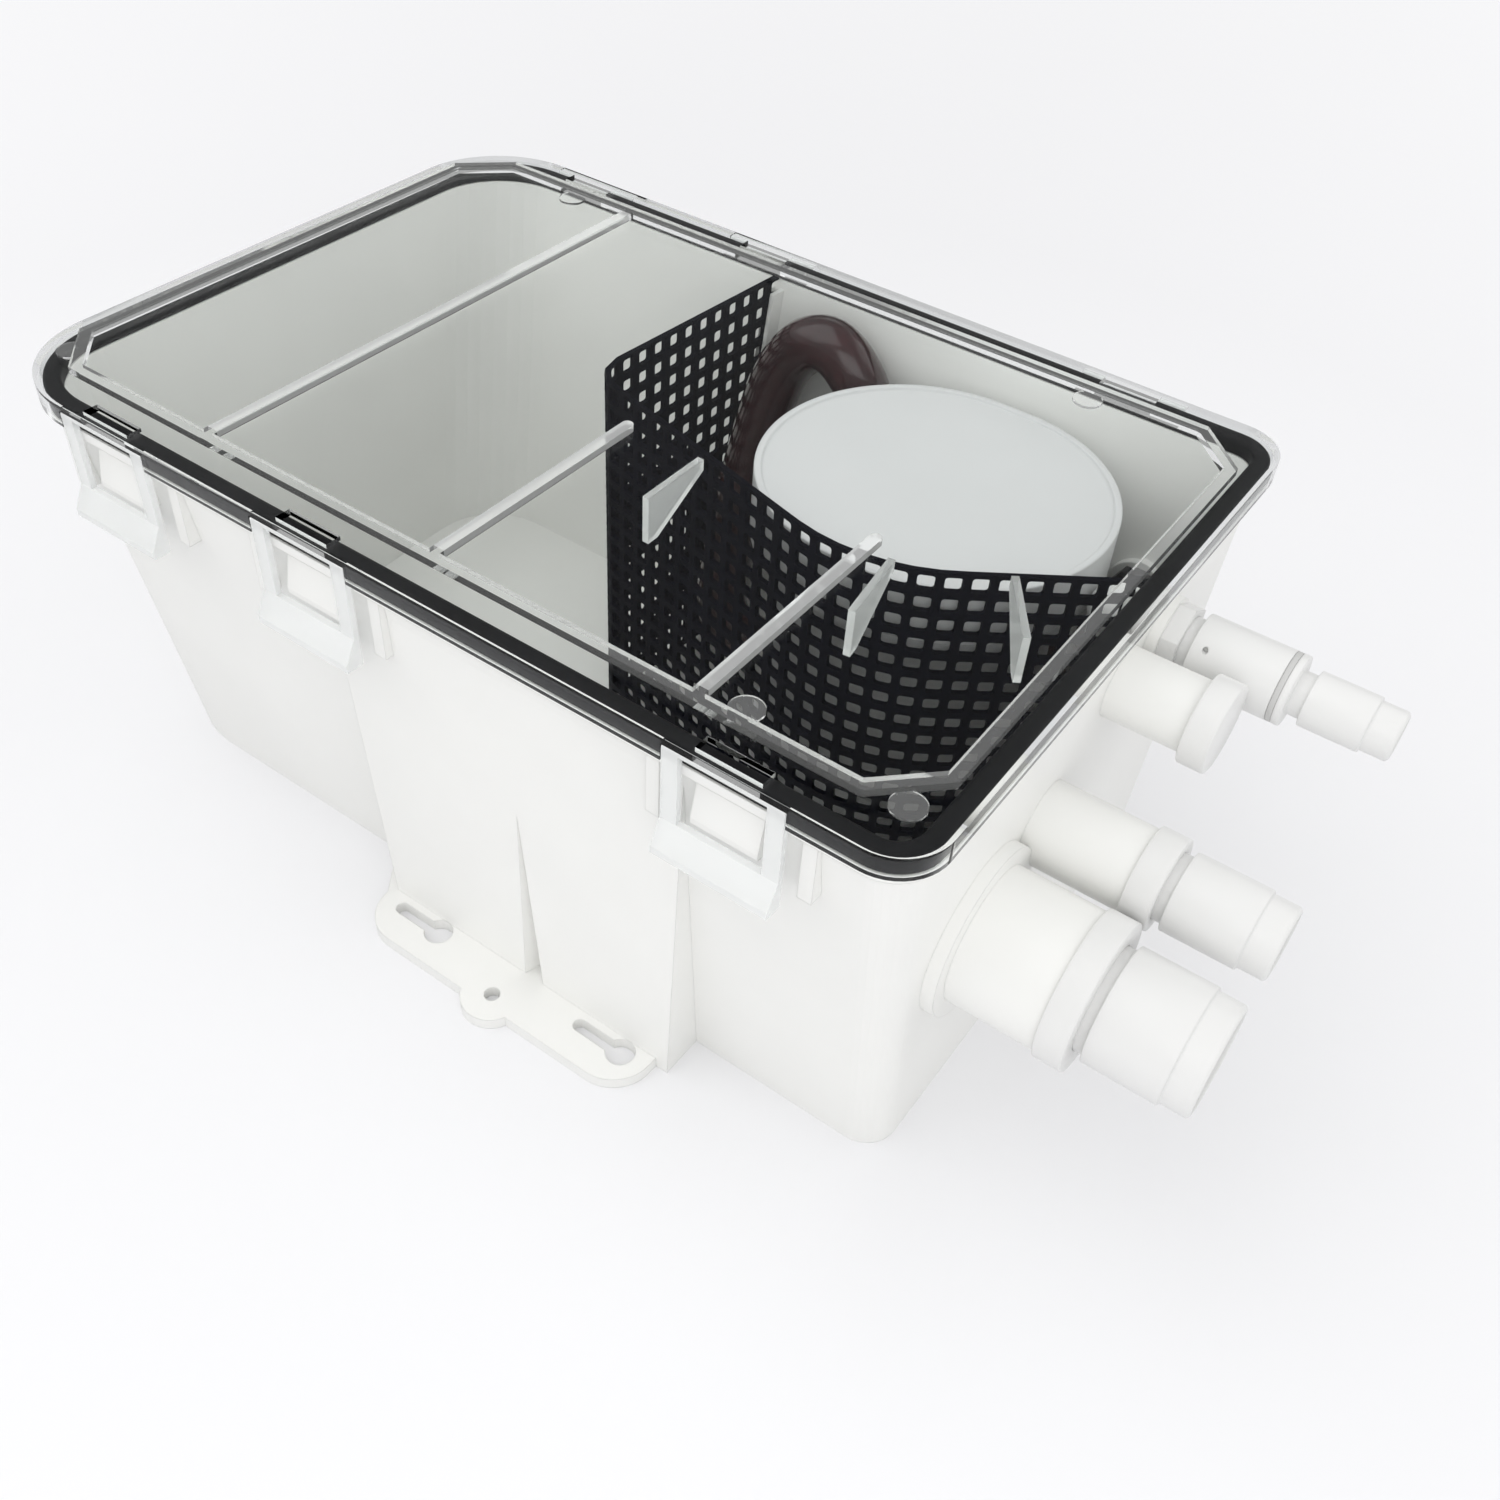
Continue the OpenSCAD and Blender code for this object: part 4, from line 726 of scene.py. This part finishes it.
# Camera fitted to the photograph: place, target, lens and film in millimetres,
# roll in degrees and near clip in metres
CAMERA_PLACE = (229.0, -291.1, 368.6)
CAMERA_TARGET = (103.9, -94.7, 142.2)
CAMERA_ROLL = 4.40
CAMERA_LENS = 36.05
CAMERA_FILM = 36.0
CAMERA_NEAR = 0.01
# Strength of the world as the camera sees it, on surfaces, in reflections
# and through the clear mouldings
WHITE = 1.0
WORLD_LIGHT = 0.80
WORLD_SHINE = 0.02
WORLD_THROUGH = 0.35
# Glow that the camera sees on the floor, near the part and far from it, and those distances and the
# floor's radius in metres;
# the weaker glow near the part is painted shade on the floor around it
FLOOR_GLOW = (0.11, 0.39)
FLOOR_NEAR = 0.45
FLOOR_FAR = 1.7
FLOOR_RADIUS = 6.0
FLOOR_SIDES = 96
# Square lamps: name, place in metres, side in metres, power in watts; and the point they face
LAMPS = (
    ("key_lamp", (-0.55, -0.35, 1.15), 1.5, 5.4),
    ("side_lamp", (0.75, -0.85, 0.65), 1.1, 3.6),
    ("back_lamp", (0.80, 0.80, 0.75), 1.0, 2.1),
)
LAMP_TARGET = (0.02, 0.0, 0.07)


class SUMP_OT_stage(bpy.types.Operator):
    """Pale floor, soft lights and the camera at the photograph's angle"""
    bl_idname = "sump.stage"
    bl_label = "Studio"

    def execute(self, context):
        self.camera(context)
        self.floor()
        self.world(context)
        for name, place, side, power in LAMPS:
            self.lamp(name, place, side, power)
        return {"FINISHED"}

    def camera(self, context):
        place = Vector(CAMERA_PLACE) * MM
        ahead = (Vector(CAMERA_TARGET) * MM - place).normalized()
        level = ahead.cross(Vector((0.0, 0.0, 1.0))).normalized()
        above = level.cross(ahead)
        roll = math.radians(CAMERA_ROLL)
        right = math.cos(roll) * level + math.sin(roll) * above
        up = -math.sin(roll) * level + math.cos(roll) * above
        turn = Matrix((right, up, -ahead)).transposed().to_4x4()
        data = bpy.data.cameras.new("photo_camera")
        data.sensor_fit = "HORIZONTAL"
        data.sensor_width = CAMERA_FILM
        data.lens = CAMERA_LENS
        data.clip_start = CAMERA_NEAR
        camera = bpy.data.objects.new("photo_camera", data)
        camera.matrix_world = Matrix.Translation(place) @ turn
        context.scene.collection.objects.link(camera)
        context.scene.camera = camera

    def floor(self):
        select_only()
        bpy.ops.mesh.primitive_circle_add(vertices=FLOOR_SIDES, radius=FLOOR_RADIUS,
                                          fill_type="NGON")
        floor = named("studio_floor")
        finish = Finish("studio_floor")
        tone = tuple(colours().floor)
        cloud = finish.noise(1.5, 3.0)
        finish.paint(cloud, (0.3, shade(tone, 0.985)), (0.7, tone))
        finish.set(Roughness=0.55, Specular_IOR_Level=0.25)
        path = finish.node("ShaderNodeLightPath")
        away = finish.node("ShaderNodeVectorMath", operation="LENGTH")
        finish.link(finish.coords.outputs["Object"], away.inputs[0])
        # less glow near the part: painted shade on the floor around it
        level = finish.spread(away.outputs["Value"], *FLOOR_GLOW)
        level.node.inputs["From Min"].default_value = FLOOR_NEAR
        level.node.inputs["From Max"].default_value = FLOOR_FAR
        glow = finish.spread(path.outputs["Is Camera Ray"], 0.0, 0.0)
        finish.link(level, glow.node.inputs["To Max"])
        finish.set(Emission_Color=(1.0, 1.0, 1.0, 1.0))
        finish.link(glow, finish.shader.inputs["Emission Strength"])
        floor.data.materials.append(finish.material)

    def world(self, context):
        world = bpy.data.worlds.new("studio_world")
        context.scene.world = world
        world.use_nodes = True
        tree = world.node_tree
        sky = tree.nodes["Background"]
        path = tree.nodes.new("ShaderNodeLightPath")
        strength = None
        levels = (
            ("Is Glossy Ray", WORLD_SHINE),
            ("Is Transmission Ray", WORLD_THROUGH),
            ("Is Camera Ray", WHITE),
        )
        for ray, level in levels:
            step = tree.nodes.new("ShaderNodeMapRange")
            step.inputs["To Min"].default_value = WORLD_LIGHT
            step.inputs["To Max"].default_value = level
            tree.links.new(path.outputs[ray], step.inputs["Value"])
            if strength:
                tree.links.new(strength, step.inputs["To Min"])
            strength = step.outputs["Result"]
        tree.links.new(strength, sky.inputs["Strength"])
        sky.inputs["Color"].default_value = (1.0, 1.0, 1.0, 1.0)

    def lamp(self, name, place, side, power):
        data = bpy.data.lights.new(name, "AREA")
        data.shape = "SQUARE"
        data.size = side
        data.energy = power
        lamp = bpy.data.objects.new(name, data)
        lamp.location = place
        ahead = Vector(LAMP_TARGET) - Vector(place)
        lamp.rotation_euler = ahead.to_track_quat("-Z", "Y").to_euler()
        bpy.context.scene.collection.objects.link(lamp)


# ---------------------------------------------------------------- panel and running

OPERATORS = (SUMP_OT_finishes, SUMP_OT_strainer, SUMP_OT_hose, SUMP_OT_rolled, SUMP_OT_stage)


class SUMP_PT_panel(bpy.types.Panel):
    """Lists the sump box's pieces and settings"""
    bl_idname = "SUMP_PT_panel"
    bl_label = "Sump box"
    bl_space_type = "VIEW_3D"
    bl_region_type = "UI"
    bl_category = "Sump box"

    def draw(self, context):
        for settings in (context.scene.sump_sizes, context.scene.sump_colours):
            for name in settings.__annotations__:
                self.layout.prop(settings, name)
        for operator in OPERATORS:
            self.layout.operator(operator.bl_idname)


CLASSES = (SumpSizes, SumpColours, *OPERATORS, SUMP_PT_panel)


def register():
    for made in CLASSES:
        bpy.utils.register_class(made)
    bpy.types.Scene.sump_sizes = bpy.props.PointerProperty(type=SumpSizes)
    bpy.types.Scene.sump_colours = bpy.props.PointerProperty(type=SumpColours)


def unregister():
    del bpy.types.Scene.sump_colours
    del bpy.types.Scene.sump_sizes
    for made in reversed(CLASSES):
        bpy.utils.unregister_class(made)


def main():
    register()
    bpy.context.scene.view_settings.view_transform = "Standard"
    for operator in OPERATORS:
        group, name = operator.bl_idname.split(".")
        if getattr(getattr(bpy.ops, group), name)() != {"FINISHED"}:
            raise RuntimeError(operator.bl_label + " wasn't made")
    select_only()


if __name__ == "__main__":
    main()
